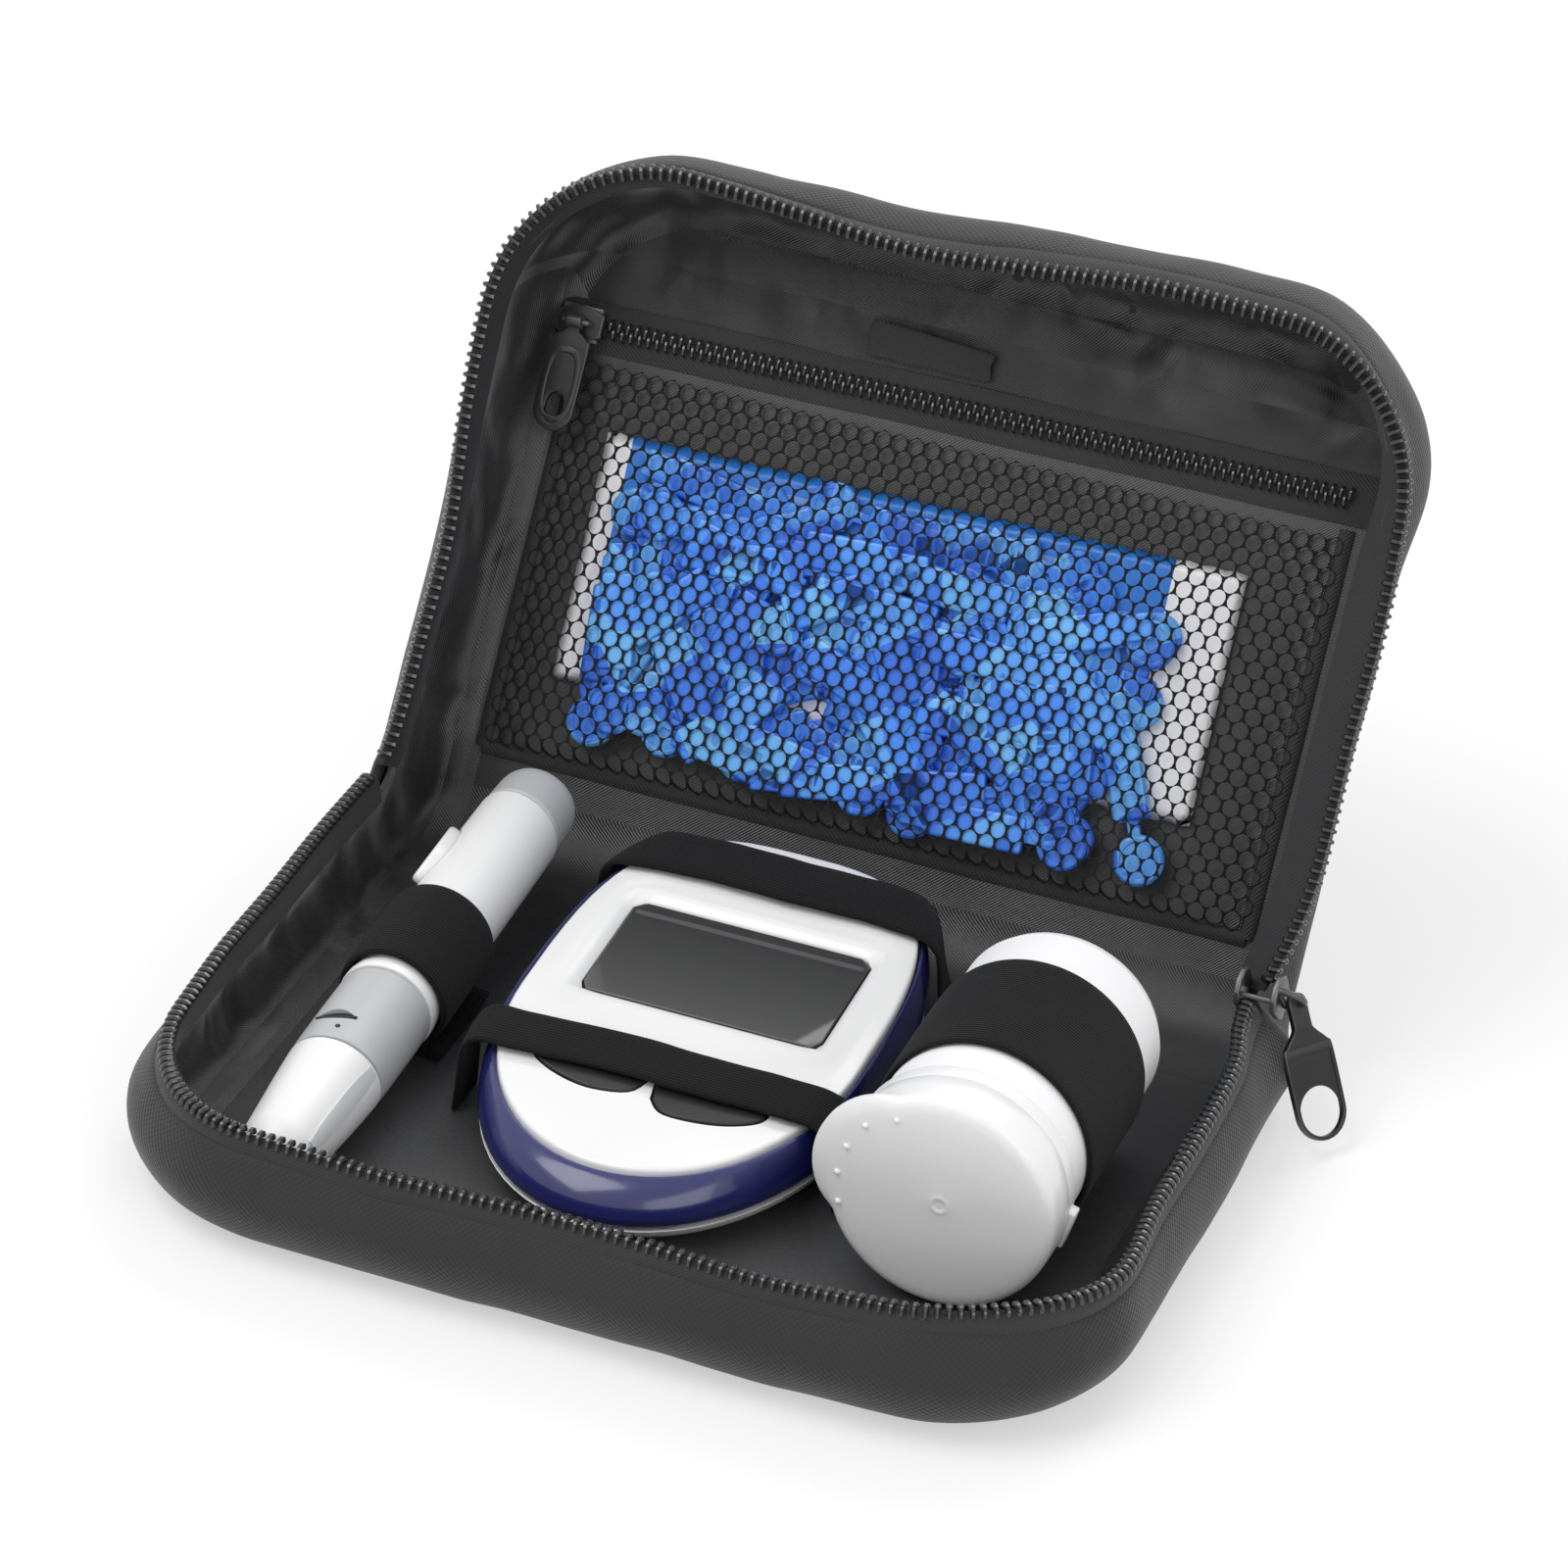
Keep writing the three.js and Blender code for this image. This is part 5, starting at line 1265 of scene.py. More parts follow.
class KIT_OT_pocket_net(bpy.types.Operator):
    """Net with six-sided meshes over the lid's pocket, and the binding at its edges"""
    bl_idname = "kit.pocket_net"
    bl_label = "Pocket net"

    def execute(self, context):
        place = lid_frame()
        skin = Skin()
        known = {}

        def laid(x, y):
            return place @ Vector((x, y, -net_depth(x, y) - 0.3))

        def corner(x, y):
            key = (round(x * 50), round(y * 50))
            if key not in known:
                known[key] = skin.row([laid(x, y)])[0]
            return known[key]

        for row in range(int((POCKET_TOP - POCKET_BOTTOM) / NET_ROW) + 1):
            for column in range(int((POCKET_LEFT + POCKET_RIGHT) / NET_PITCH) + 1):
                x = -POCKET_LEFT + (column + 0.5 * (row % 2)) * NET_PITCH
                outer, inner = mesh_outlines(x, POCKET_BOTTOM + row * NET_ROW)
                if not all(-POCKET_LEFT - 0.1 <= px <= POCKET_RIGHT + 0.1
                           and POCKET_BOTTOM - 0.1 <= py <= POCKET_TOP + 0.1 for px, py in outer):
                    continue
                outer_ids = [corner(*p) for p in outer]
                inner_ids = skin.row([laid(*p) for p in inner])
                for k in range(12):
                    m = (k + 1) % 12
                    skin.faces.append((outer_ids[k], outer_ids[m], inner_ids[m], inner_ids[k]))
                    skin.flat += [outer[k], outer[m], inner[m], inner[k]]
        net = skin.made("pocket_mesh")
        tidy_normals(net)
        face_towards(net, place @ Vector((0, 40, -18)), up_in_lid())
        modify(net, "SOLIDIFY", thickness=0.00032, offset=0)
        smooth(net, 60)
        measured(net) / 2
        dressed(net, "Net thread", "net", "lid", "pocket_net")
        corners = ((-POCKET_LEFT, POCKET_BOTTOM), (POCKET_RIGHT, POCKET_BOTTOM))
        edges = ((*corners[0], -POCKET_LEFT, POCKET_TOP), (*corners[1], POCKET_RIGHT, POCKET_TOP),
                 (*corners[0], *corners[1]))
        bindings = [self.bound(place, *edge) for edge in edges]
        binding = joined("pocket_binding", *bindings)
        dressed(binding, "Tape", "nylon", "lid")
        return {"FINISHED"}

    def bound(self, place, x0, s0, x1, s1, steps=40):
        """Binding along one edge of the net."""
        rows, flats = [], []
        along = Vector((x1 - x0, s1 - s0)).normalized()
        section = ((-1.3, -0.5), (-0.9, -0.15), (0, 0), (0.9, -0.15), (1.3, -0.5))
        for i in range(steps + 1):
            x, s = lerp(x0, x1, i / steps), lerp(s0, s1, i / steps)
            rows.append([place @ Vector((x - along.y * over, s + along.x * over, POCKET_FACE + lift))
                         for over, lift in section])
            flats.append([((x1 - x0 + s1 - s0) * i / steps, k * 0.85) for k in range(5)])
        middle = place @ Vector(((x0 + x1) / 2, (s0 + s1) / 2, -22))
        return strip_of("binding", rows, flats, (middle, up_in_lid()), 0.3)


def pocket_zip_at(x):
    """The pocket's zip was sewn in a little aslant."""
    return POCKET_ZIP - 0.9 * (0.5 - (x + 2) / 132)


class KIT_OT_pocket_zip(bpy.types.Operator):
    """Zip over the net, with its slider and pull, and the blank label above it"""
    bl_idname = "kit.pocket_zip"
    bl_label = "Pocket zip"

    def execute(self, context):
        place = lid_frame()
        zips = InMillimetres(context.scene.kit_zips)
        width = POCKET_LEFT + POCKET_RIGHT
        rows, flats = [], []
        steps = 60
        for i in range(steps + 1):
            x = -POCKET_LEFT - 4.5 + (width + 11) * i / steps
            row = []
            for k in range(9):
                over = -4.2 + 8.4 * k / 8
                lift = -23.4 + 0.1 * sin(x / 7.0 + k) - 0.4 * (abs(over) / 4.2) ** 4
                row.append(place @ Vector((x, pocket_zip_at(x) + over, lift)))
            rows.append(row)
            flats.append([(x, k * 1.05) for k in range(9)])
        seen = place @ Vector((0, POCKET_ZIP, -22)), up_in_lid()
        tape = strip_of("pocket_tape", rows, flats, seen, 0.3)
        dressed(tape, "Tape", "nylon", "lid", "pocket_zip_tape")
        frames = []
        turn_only = place.to_3x3()
        up, along = turn_only @ Vector((0, 0, 1)), turn_only @ Vector((1, 0, 0))
        count = int((width + 2) / zips.pocket_pitch)
        for side in (-1, 1):
            for i in range(count):
                x = -POCKET_LEFT - 0.5 + (i + 0.25 * side) * (width + 1) / count
                here = place @ Vector((x, pocket_zip_at(x) + side * 0.78, -22.72))
                frames.append((here, turn_only @ Vector((0.10, side, 0)).normalized(), up, along))
        coil = coil_row("pocket_coil", frames, 1.75, 0.9, 0.27)
        dressed(coil, "Coil", "zip_coil", "lid", "pocket_zip_coil")
        self.slider(place)
        self.label(place)
        return {"FINISHED"}

    def slider(self, place):
        """Slider with its bridge, and the pull that hangs from it; Y of the pull runs up."""
        x = -68.5
        here = place @ Matrix.Translation((x, pocket_zip_at(x), POCKET_FACE + 1.6))
        face = plate("face", [shield(8.2, 6.0)], 0.9, 0.3, here @ Matrix.Translation((0, 0, 0.45)) @
                     Matrix.Rotation(radians(180), 4, "Z"), 3)
        lips = [block("lip", (7.0, 0.8, 1.3), (0, side * 2.55, -0.45), 0.25, 2, here) for side in (-1, 1)]
        bar_height = 2.6
        arch = through([(-2.1, 0, 0.6), (-2.15, 0, 1.9), (-1.7, 0, bar_height), (0, 0, bar_height + 0.05),
                        (1.7, 0, bar_height), (2.15, 0, 1.9), (2.1, 0, 0.6)], 4)
        bridge = placed(bent_rod("bridge", arch, 0.5, 10), here)
        slider = joined("pocket_slider_body", face, *lips, bridge)
        dressed(slider, "Enamel", "enamel", "pocket_slider", "pocket_slider")
        hang = here @ Matrix.Translation((0, 0, bar_height))
        side = through([(-1.25, -1.0), (-1.3, -1.6), (-3.0, -2.9), (-3.5, -4.4), (-3.5, -14.4)], 3)
        left = [(-1.25, 1.0), *side[:12]]
        round_end = arc(3.5, pi, 2 * pi, 14, -14.9)[1:-1]
        outline = [left[0], *side, *round_end, *((-x, y) for x, y in reversed(left))]
        hole = ellipse(1.5, 2.5, 24, 0, -14.6, 2.3)
        grip = plate("grip", [outline, hole], 1.0, 0.3, hang, 3)
        border = [(a * 0.86, lerp(-9.6, b, 0.9)) for a, b in ellipse(3.5, 7.0, 36, 0, -10.6, 3.0)]
        edge = plate("edge", [border, ellipse(2.15, 5.2, 36, 0, -10.7, 3.0)], 1.3, 0.25, hang, 2)
        tube = [(0.72, -1.3), (1.3, -1.3, 0.3), (1.3, 1.3, 0.3), (0.72, 1.3), (0.72, -1.3)]
        knuckle = turned("knuckle", rounded(tube), hang @ Matrix.Rotation(radians(90), 4, "Y"), 20)
        pull = joined("pocket_pull_tab", grip, edge, knuckle)
        dressed(pull, "Enamel", "enamel", "pocket_pull", "pocket_pull")

    def label(self, place):
        """A blank sewn label whose free edge bows a little."""
        rows, flats = [], []
        for i in range(25):
            x = -20.6 + 21.4 * i / 24
            row = []
            for k in range(9):
                s = 83.6 + 6.2 * k / 8 - 1.4 * (i / 24) * (k / 8)
                bow = 0.2 + 0.7 * (k / 8) * sin(pi * (0.15 + 0.8 * i / 24)) + 0.12 * sin(i * 0.8)
                row.append(place @ Vector((x + 0.2 * sin(k), s, POCKET_FACE + bow + 0.1 * (k / 8))))
            rows.append(row)
            flats.append([(x, k) for k in range(9)])
        seen = place @ Vector((-8, 88, -22)), up_in_lid()
        label = strip_of("blank_label", rows, flats, seen, 0.5, rounds=1)
        dressed(label, "Tape", "twill", "lid", "label_tab")


# Each numbered lancet: the place of its disc and its turn
LANCETS = ((-49.9, 15.2, 95), (-37.1, 16.4, 82), (-23.5, 15.6, 101), (-9.3, 17.7, 84), (5.0, 16.0, 97),
           (19.1, 16.4, 86), (32.6, 15.5, 99), (44.6, 15.0, 113), (-51.1, 50.0, 2), (38.0, 49.0, 176))


def lancet_shape(name, matrix):
    """A lancet: a round twist-off grip, a neck, a ribbed body and a narrower tail."""
    grip = plate(name, [ellipse(4.2, 4.2, 28)], 1.7, 0.5, matrix @ Matrix.Translation((0, 0, 1.6)), 2)
    rim_profile = rounded([(2.9, 0.5), (3.9, 0.5, 0.3), (3.9, 2.7, 0.3), (2.9, 2.7, 0.3), (2.9, 0.5)], 2)
    rim = turned("rim", rim_profile, matrix, 24)
    neck = block("neck", (3.6, 2.0, 1.6), (5.4, 0, 1.6), 0.35, 2, matrix)
    body = block("body", (16.0, 6.1, 3.1), (14.4, 0, 1.6), 0.7, 3, matrix)
    ribs = [block("rib", (0.8, 5.0, 3.3), (10.0 + 2.2 * i, 0, 1.6), 0.25, 1, matrix) for i in range(3)]
    tail = block("tail", (5.4, 4.5, 2.6), (24.6, 0, 1.6), 0.5, 3, matrix)
    return joined(name, grip, rim, neck, body, tail, *ribs)


class KIT_OT_pocket_contents(bpy.types.Operator):
    """Swab sachet with a generic print, and the lancets in front of it"""
    bl_idname = "kit.pocket_contents"
    bl_label = "Sachet and lancets"

    def execute(self, context):
        place = lid_frame()
        sachet = self.sachet(place @ frame_at((-4.5, 42, -23.6), 0, 0, 0.8))
        dressed(sachet, "Printed sachet", "paper", "lid", "swab_packet")
        for number, (x, s, angle) in enumerate(LANCETS, 1):
            lancet = lancet_shape(f"blue_lancet_{number}", place @ frame_at((x, s, -22.8), 0, 0, angle))
            dressed(lancet, "Blue lancet", "blue_plastic", "lid", f"lancet_{number}")
        pattern = lancet_shape("pattern", Matrix.Translation((-11.5, 0, 0)))
        loose = []
        flat = Matrix.Diagonal((1, 1, 0.6, 1))
        for x, s, lift, angle in heap_places():
            loose.append(placed(twin(pattern), place @ frame_at((x, s, lift), 0, 0, angle) @ flat))
        bpy.data.objects.remove(pattern)
        dressed(joined("loose_lancets", *loose), "Blue lancet", "blue_plastic", "lid")
        return {"FINISHED"}

    def sachet(self, here, half_wide=55, half_high=20.5, columns=56, lines=22):
        """A puffed pouch with toothed ends, its two sides joined at their edges."""
        skin = Skin()
        for side in (1, -1):
            rows, flats = [], []
            for j in range(lines + 1):
                flat = [(lerp(-half_wide, half_wide, i / columns), lerp(-half_high, half_high, j / lines))
                        for i in range(columns + 1)]
                row = []
                for i, (x, y) in enumerate(flat):
                    inner = min(step((half_wide - abs(x)) / 6), step((half_high - abs(y)) / 5))
                    crumple = noise.fractal(Vector((x / 8, y / 8, 2.0)), 1.0, 2.0, 3)
                    puff = 0.26 * inner * (1 + 0.5 * crumple)
                    teeth = (0.35 if j else -0.35) * (i % 2) if j in (0, lines) else 0
                    row.append(here @ Vector((x, y + teeth, 0.3 + side * puff + 0.08 * crumple)))
                rows.append(skin.row(row)[::side])
                flats.append(flat[::side])
            for j in range(lines):
                skin.between(rows[j], rows[j + 1], flats[j], flats[j + 1])
        pouch = tidy_normals(skin.made("swab_sachet"), 0.0)
        bridge_edges(pouch)
        return smooth(pouch)


def twin(obj):
    """A copy of an object with a mesh of its own."""
    copy = obj.copy()
    copy.data = obj.data.copy()
    bpy.context.scene.collection.objects.link(copy)
    return copy


def heap_places():
    """Where the loose lancets lie: two layers, each kept inside the net and off its neighbours."""
    dice = random.Random(11)
    places = []
    for lift, count, low_x, high_x, low_s, high_s, apart in (
            (-22.85, 34, -57, 42, 11.5, 60, 7.5), (-21.05, 26, -55, 40, 12.5, 52.5, 8.4)):
        layer = []
        for _ in range(6000):
            x, s, angle = dice.uniform(low_x, high_x), dice.uniform(low_s, high_s), dice.uniform(0, 360)
            reach = Vector((cos(radians(angle)), sin(radians(angle)))) * 15.8
            inside = (low_x < x - abs(reach.x) and x + abs(reach.x) < high_x
                      and low_s < s - abs(reach.y) and s + abs(reach.y) < high_s)
            if inside and all(hypot(x - other[0], s - other[1]) > apart for other in layer):
                layer.append((x, s, lift, angle))
            if len(layer) == count:
                break
        places += layer
    return places


def bridge_edges(obj):
    """Joins the two open edges of a pouch."""
    select_only(obj)
    bpy.ops.object.mode_set(mode="EDIT")
    bpy.ops.mesh.select_all(action="DESELECT")
    bpy.ops.mesh.select_mode(type="EDGE")
    bpy.ops.mesh.select_non_manifold()
    bpy.ops.mesh.bridge_edge_loops()
    bpy.ops.mesh.select_all(action="SELECT")
    bpy.ops.mesh.normals_make_consistent(inside=False)
    bpy.ops.mesh.select_mode(type="VERT")
    bpy.ops.object.mode_set(mode="OBJECT")


def sachet_material():
    """White foil paper with plain blue blocks and bars, and painted shade in its creases."""
    graph, shader = new_material("Printed sachet")[1:]
    flat = graph.node("ShaderNodeUVMap", uv_map="Cloth").outputs[0]
    where = graph.node("ShaderNodeTexCoord").outputs["Object"]
    parts = graph.node("ShaderNodeSeparateXYZ", {0: flat}).outputs

    def block_at(x0, x1, y0, y1):
        return graph.math("MULTIPLY", graph.between(parts[0], x0, x1), graph.between(parts[1], y0, y1))

    shade = graph.mix(block_at(-50.5, 43.0, -14.5, 21.0), (0.97, 0.96, 0.98, 1), colour("print_blue"))
    for *edges, tone in ((-46, -14, 13.0, 17.0, 0.55), (-46, -22, 8.6, 10.4, 0.5), (8, 30, 13.2, 16.6, 0.5),
                         (8, 38, 9.0, 10.6, 0.45), (34, 41.5, -8.0, 6.0, 0.35), (-10, 2, -12, -7, 0.35)):
        shade = graph.mix(graph.math("MULTIPLY", block_at(*edges), tone), shade, (0.35, 0.60, 0.92, 1))
    creases_and_shade = graph.noise(where, 160.0, 3.0)
    # Painted shade in the creases: the crease noise darkens the colour a little where it is low.
    shade = graph.mix(0.25, shade, graph.ramp(creases_and_shade, (0.35, 0.75), (0.65, 1.0)), "MULTIPLY")
    graph.give(shader, "Base Color", shade)
    graph.give(shader, "Roughness", graph.math("MULTIPLY_ADD", creases_and_shade, 0.2, 0.25))
    graph.give(shader, "Normal", graph.bump(creases_and_shade, 0.0004, 0.6))


# Meter

METER_X, METER_MIDDLE, METER_FRONT, METER_REAR, METER_HALF = -5, 10, -33, 62, 30
FLOOR_TOP = 3.0


def top_at(y):
    return 19.1 + (y - 25.5) * tan(radians(4.9))


def seam_at(y):
    return 3.3 + (top_at(y) - 3.3) * 0.32


def meter_plan(side, front, rear, count=72):
    """Outline of the meter seen from above, drawn in by separate amounts at its sides, front and rear."""
    plan = []
    for i in range(count):
        c, s = cos(2 * pi * i / count), sin(2 * pi * i / count)
        power = 2 / 3.2 if s > 0 else 1
        reach = METER_REAR - rear - METER_MIDDLE if s > 0 else METER_MIDDLE - METER_FRONT - front
        x = abs(c) ** power * (METER_HALF - side) * (1 if c >= 0 else -1)
        plan.append((x + METER_X, METER_MIDDLE + abs(s) ** power * reach * (1 if s >= 0 else -1)))
    return plan


def meter_half(y):
    """Half the meter's width at a distance along it."""
    reach = METER_REAR - METER_MIDDLE if y > METER_MIDDLE else METER_MIDDLE - METER_FRONT
    power = 3.2 if y > METER_MIDDLE else 2
    return METER_HALF * (1 - min(abs(y - METER_MIDDLE) / reach, 1) ** power) ** (1 / power)


def at_height(plan, height):
    return [(x, y, height(y)) for x, y in plan]


def rounded_window(half_wide, half_long, corner, count=72):
    """A rounded rectangle about the screen's middle, its points at the same turns as the meter's outline."""
    ring = []
    for i in range(count):
        angle = 2 * pi * i / count
        px, py = meter_plan(0, 0, 0)[i]
        dx, dy = px - METER_X, py - SCREEN_Y
        reach = max(abs(dx) / half_wide, abs(dy) / half_long)
        x, y = dx / reach, dy / reach
        over_x, over_y = abs(x) - (half_wide - corner), abs(y) - (half_long - corner)
        if over_x > 0 and over_y > 0:
            far = hypot(over_x, over_y)
            x = (half_wide - corner + over_x / far * corner) * (1 if x > 0 else -1)
            y = (half_long - corner + over_y / far * corner) * (1 if y > 0 else -1)
        ring.append((x + METER_X, y + SCREEN_Y))
    return ring


SCREEN_Y = 25.5
KEY_Y = -12.5
LEFT_KEY = [(-1.12, 0.95), (-1.0, 0.6), (-0.75, 0.33), (-0.42, 0.2), (-0.1, 0.42), (-0.1, 1.2), (-0.8, 1.2)]
RIGHT_KEY = [(0.1, 0.32), (0.28, 0.0), (0.72, 0.1), (1.02, 0.42), (1.05, 0.8), (0.8, 1.2), (0.1, 1.2)]


def key_frame():
    return frame_at((METER_X, KEY_Y, top_at(KEY_Y)), 4.9)


def key_outline(shares, grow=0.0):
    places = [(x * 18, y * 8.6) for x, y in shares]
    soft = through(places + places[:1], 5)[:-1]
    middle = (sum(x for x, y in places) / len(places), sum(y for x, y in places) / len(places))
    outline = []
    for x, y in soft:
        away = Vector((x - middle[0], y - middle[1]))
        away = away.normalized() * grow
        outline.append((x + away.x, y + away.y))
    return outline


class KIT_OT_meter(bpy.types.Operator):
    """Covers, blue band, screen and keys of the meter"""
    bl_idname = "kit.meter"
    bl_label = "Meter"

    def execute(self, context):
        self.sole()
        self.band()
        self.top()
        self.screen()
        sunk = key_frame() @ Matrix.Translation((0, 0, -1.0))
        for name, shares in (("left", LEFT_KEY), ("right", RIGHT_KEY)):
            key = plate(name + "_key", [key_outline(shares)], 3.0, 0.45, sunk, 3)
            dressed(key, "Black rubber", "black_plastic", name + "_button", name + "_button")
        return {"FINISHED"}

    def sole(self):
        line = through([(8.6, 0.0), (7.2, 0.02), (4.6, 0.35), (2.4, 1.25), (0.9, 3.0), (0.3, 5.0)], 3)
        rings = []
        for amount, rise in line:
            rings.append(at_height(meter_plan(amount, amount, amount),
                                   lambda y: lerp(3.3 + rise, seam_at(y), step((rise - 2.6) / 2.4))))
        rings.append(at_height(meter_plan(1.6, 1.6, 1.6), seam_at))
        rings.append(at_height(meter_plan(3.6, 3.6, 3.6), lambda y: 5.6))
        rings.append(at_height(meter_plan(10.2, 10.2, 10.2), lambda y: 4.9))
        sole = drawn("meter_sole", rings)
        bay = block("bay", (24.0, 29.6, 6.4), (METER_X, 21.5, 3.3), 0.2, 1)
        cut_out(sole, bay)
        for y in (-12, 30):
            peak = seam_at(y) + 0.8
            for side in (-1, 1):
                profile = rounded([(0, 4.2), (2.0, 4.2, 0.2), (2.0, peak, 0.3), (0, peak)])
                post = turned("post", profile, Matrix.Translation((METER_X + side * 17, y, 0)), 16)
                sole = joined("meter_sole", sole, post)
        dressed(smooth(sole, 35), "White shell", "white_plastic", "meter", "meter_bottom_cover")

    def band(self):
        rings = []
        outer = through([(0.95, 0.02), (0.3, 0.09), (0.0, 0.22), (0.02, 0.36), (0.14, 0.54), (0.4, 0.74),
                         (0.74, 0.895), (0.93, 0.925)], 3)
        for share, rise in outer:
            tuck = 0.9 * (share if rise < 0.2 else 0)
            grow = share if rise > 0.2 else 0
            rings.append(at_height(meter_plan(tuck + 1.3 * grow, tuck + 5.3 * grow, tuck + 2.7 * grow),
                                   lambda y: lerp(seam_at(y) + 0.3, top_at(y), rise)))
        rings.append(at_height(meter_plan(2.2, 6.2, 3.6), lambda y: lerp(seam_at(y) + 0.3, top_at(y), 0.80)))
        rings.append(at_height(meter_plan(2.4, 4.5, 3.0), lambda y: lerp(seam_at(y) + 0.3, top_at(y), 0.45)))
        rings.append(at_height(meter_plan(1.9, 1.9, 1.9), lambda y: seam_at(y) + 0.35))
        band = drawn("meter_band", rings, closed=True, angle=50)
        port_height = seam_at(METER_REAR) + 4.1
        cut_out(band, block("slot", (7, 12, 1.3), (METER_X, METER_REAR, port_height), 0.2, 1))
        dressed(smooth(band, 40), "Navy gloss", "navy_plastic", "meter", "meter_side_band")

    def top(self):
        side, front, rear = 1.9, 5.9, 3.3
        rings = []
        edge = ((0, -1.7), (0, -0.75), (0.08, -0.4), (0.28, -0.16), (0.6, -0.04), (1.1, 0.0))
        for amount, lift in edge:
            plan = meter_plan(side + amount, front + amount, rear + amount)
            rings.append(at_height(plan, lambda y: top_at(y) + lift))
        outer = meter_plan(side + 1.1, front + 1.1, rear + 1.1)
        inner = rounded_window(22.8, 15.2, 3.0)
        for t in (0.25, 0.5, 0.75, 1.0):
            plan = [(lerp(a, c, t), lerp(b, d, t)) for (a, b), (c, d) in zip(outer, inner)]
            rings.append(at_height(plan, lambda y: top_at(y) + 0.22 * sin(t * pi)))
        slope = ((22.1, 14.4, 2.2, 0.04), (21.2, 13.5, 1.4, -0.28), (20.5, 12.75, 0.8, -0.85),
                 (20.15, 12.4, 0.5, -1.25), (20.15, 12.4, 0.5, -1.75))
        for wide, long, corner, lift in slope:
            rings.append(at_height(rounded_window(wide, long, corner), lambda y: top_at(y) + lift))
        top = drawn("meter_top", rings, closed=True, angle=50)
        for shares in (LEFT_KEY, RIGHT_KEY):
            cut_out(top, plate("hole", [key_outline(shares, 0.42)], 8, 0.01, key_frame(), 0))
        dressed(smooth(top, 40), "White gloss", "white_plastic", "meter", "meter_top_cover")

    def screen(self):
        rings = []
        for inset, lift in ((0, -1.9), (0, -1.05), (0.15, -0.9)):
            plan = rounded_window(19.85 - inset, 12.1 - inset, 0.4)
            rings.append(at_height(plan, lambda y: top_at(y) + lift))
        glass = drawn("screen_glass", rings)
        dressed(glass, "Dark display", "window", "meter", "screen_window")


def screen_material():
    """Dark display under clear plastic, with a paler line near its top edge."""
    graph, shader = new_material("Dark display")[1:]
    where = graph.node("ShaderNodeTexCoord").outputs["Object"]
    parts = graph.node("ShaderNodeSeparateXYZ", {0: where}).outputs
    line = graph.between(parts[1], 34.4, 35.5)
    inside = graph.between(parts[0], METER_X - 19.2, METER_X + 19.2)
    rise = graph.math("DIVIDE", graph.math("SUBTRACT", parts[1], 13.0 * MM), 25 * MM)
    fade = graph.ramp(rise, (0.0, 0.052), (0.9, 0.03))
    pale = graph.math("MULTIPLY", graph.math("MULTIPLY", line, inside), 0.6)
    shade = graph.mix(pale, fade, (0.13, 0.13, 0.135, 1))
    graph.give(shader, "Base Color", shade)
    graph.give(shader, "Roughness", graph.math("MULTIPLY_ADD", graph.noise(where, 500.0), 0.08, 0.26))
    shader.inputs["Coat Weight"].default_value = 0.5
    shader.inputs["Coat Roughness"].default_value = 0.12
    graph.give(shader, "Normal", graph.bump(graph.noise(where, 90.0), 0.00002, 0.5))


# Elastic bands

BAND_END, BAND_CROWN, BAND_STEPS = 31.4, 1.5, 8
LOOP_START, LOOP_WIDTH, LOOP_STEPS = 2.4, 20, 12


def edge_share(k, steps):
    """0 in the middle of a band and 1 at both its edges."""
    return abs(k - steps / 2) / (steps / 2)


def band_section(y):
    """Line of an elastic over the meter at one place along it, from the floor to the floor."""
    top = top_at(y)
    reach = max(meter_half(y), meter_half(y + 10)) + 1.1
    spare = BAND_END - reach
    line = through([(BAND_END, FLOOR_TOP + 0.35), (reach + spare * 0.75, 5.5), (reach + spare * 0.4, 9.5),
                    (reach + spare * 0.06, top - 2.6), (reach - 0.8, top - 0.2), (reach - 3.4, top + 1.2),
                    (reach - 10.5, top + BAND_CROWN), (0, top + BAND_CROWN + 0.25)], 5)
    return [(METER_X + x, z) for x, z in line] + [(METER_X - x, z) for x, z in reversed(line[:-1])]


def band_across(name, front, width, bow):
    """An elastic over the meter; its middle is drawn towards the rear."""
    rows, flats = [], []
    for k in range(BAND_STEPS + 1):
        across = width * k / BAND_STEPS
        y = front + across
        row = []
        line = band_section(y)
        for x, z in line:
            lift = step((z - 6) / 8)
            wave = 0.25 * sin(x * 0.23 + front) + 0.12 * sin(x * 0.71)
            shift = bow * (1 - ((x - METER_X) / 31.1) ** 2) * lift + wave * lift
            curl_up = -0.16 * edge_share(k, BAND_STEPS) ** 3 * lift
            row.append((x, y + shift, z + curl_up + (top_at(y + shift) - top_at(y)) * lift))
        rows.append(row)
        flats.append([(far, across) for far in run_along(line)])
    seen = (METER_X, front + width / 2, 30), (0, 0, 1)
    return strip_of(name, rows, flats, seen, 0.8, offset=0, rounds=1, angle=None)


def band_round(name, matrix, radius, thick, start, width, sides=56):
    """An elastic loop about a frame's Z axis."""
    rows, flats = [], []
    for k in range(LOOP_STEPS + 1):
        across = width * k / LOOP_STEPS
        squeeze = 0.10 * edge_share(k, LOOP_STEPS) ** 4
        row = []
        for i in range(sides + 1):
            angle = 2 * pi * i / sides - pi / 2
            r = radius + thick / 2 - squeeze + 0.06 * sin(3 * angle + k * 0.4)
            row.append((r * cos(angle), r * sin(angle), start + across + 0.15 * sin(2 * angle)))
        rows.append(row)
        flats.append([(2 * pi * radius * i / sides, across) for i in range(sides + 1)])
    seen = (radius + 2, 0, start + width / 2), (1, 0, 0)
    return placed(strip_of(name, rows, flats, seen, thick, offset=0, rounds=1, angle=None), matrix)


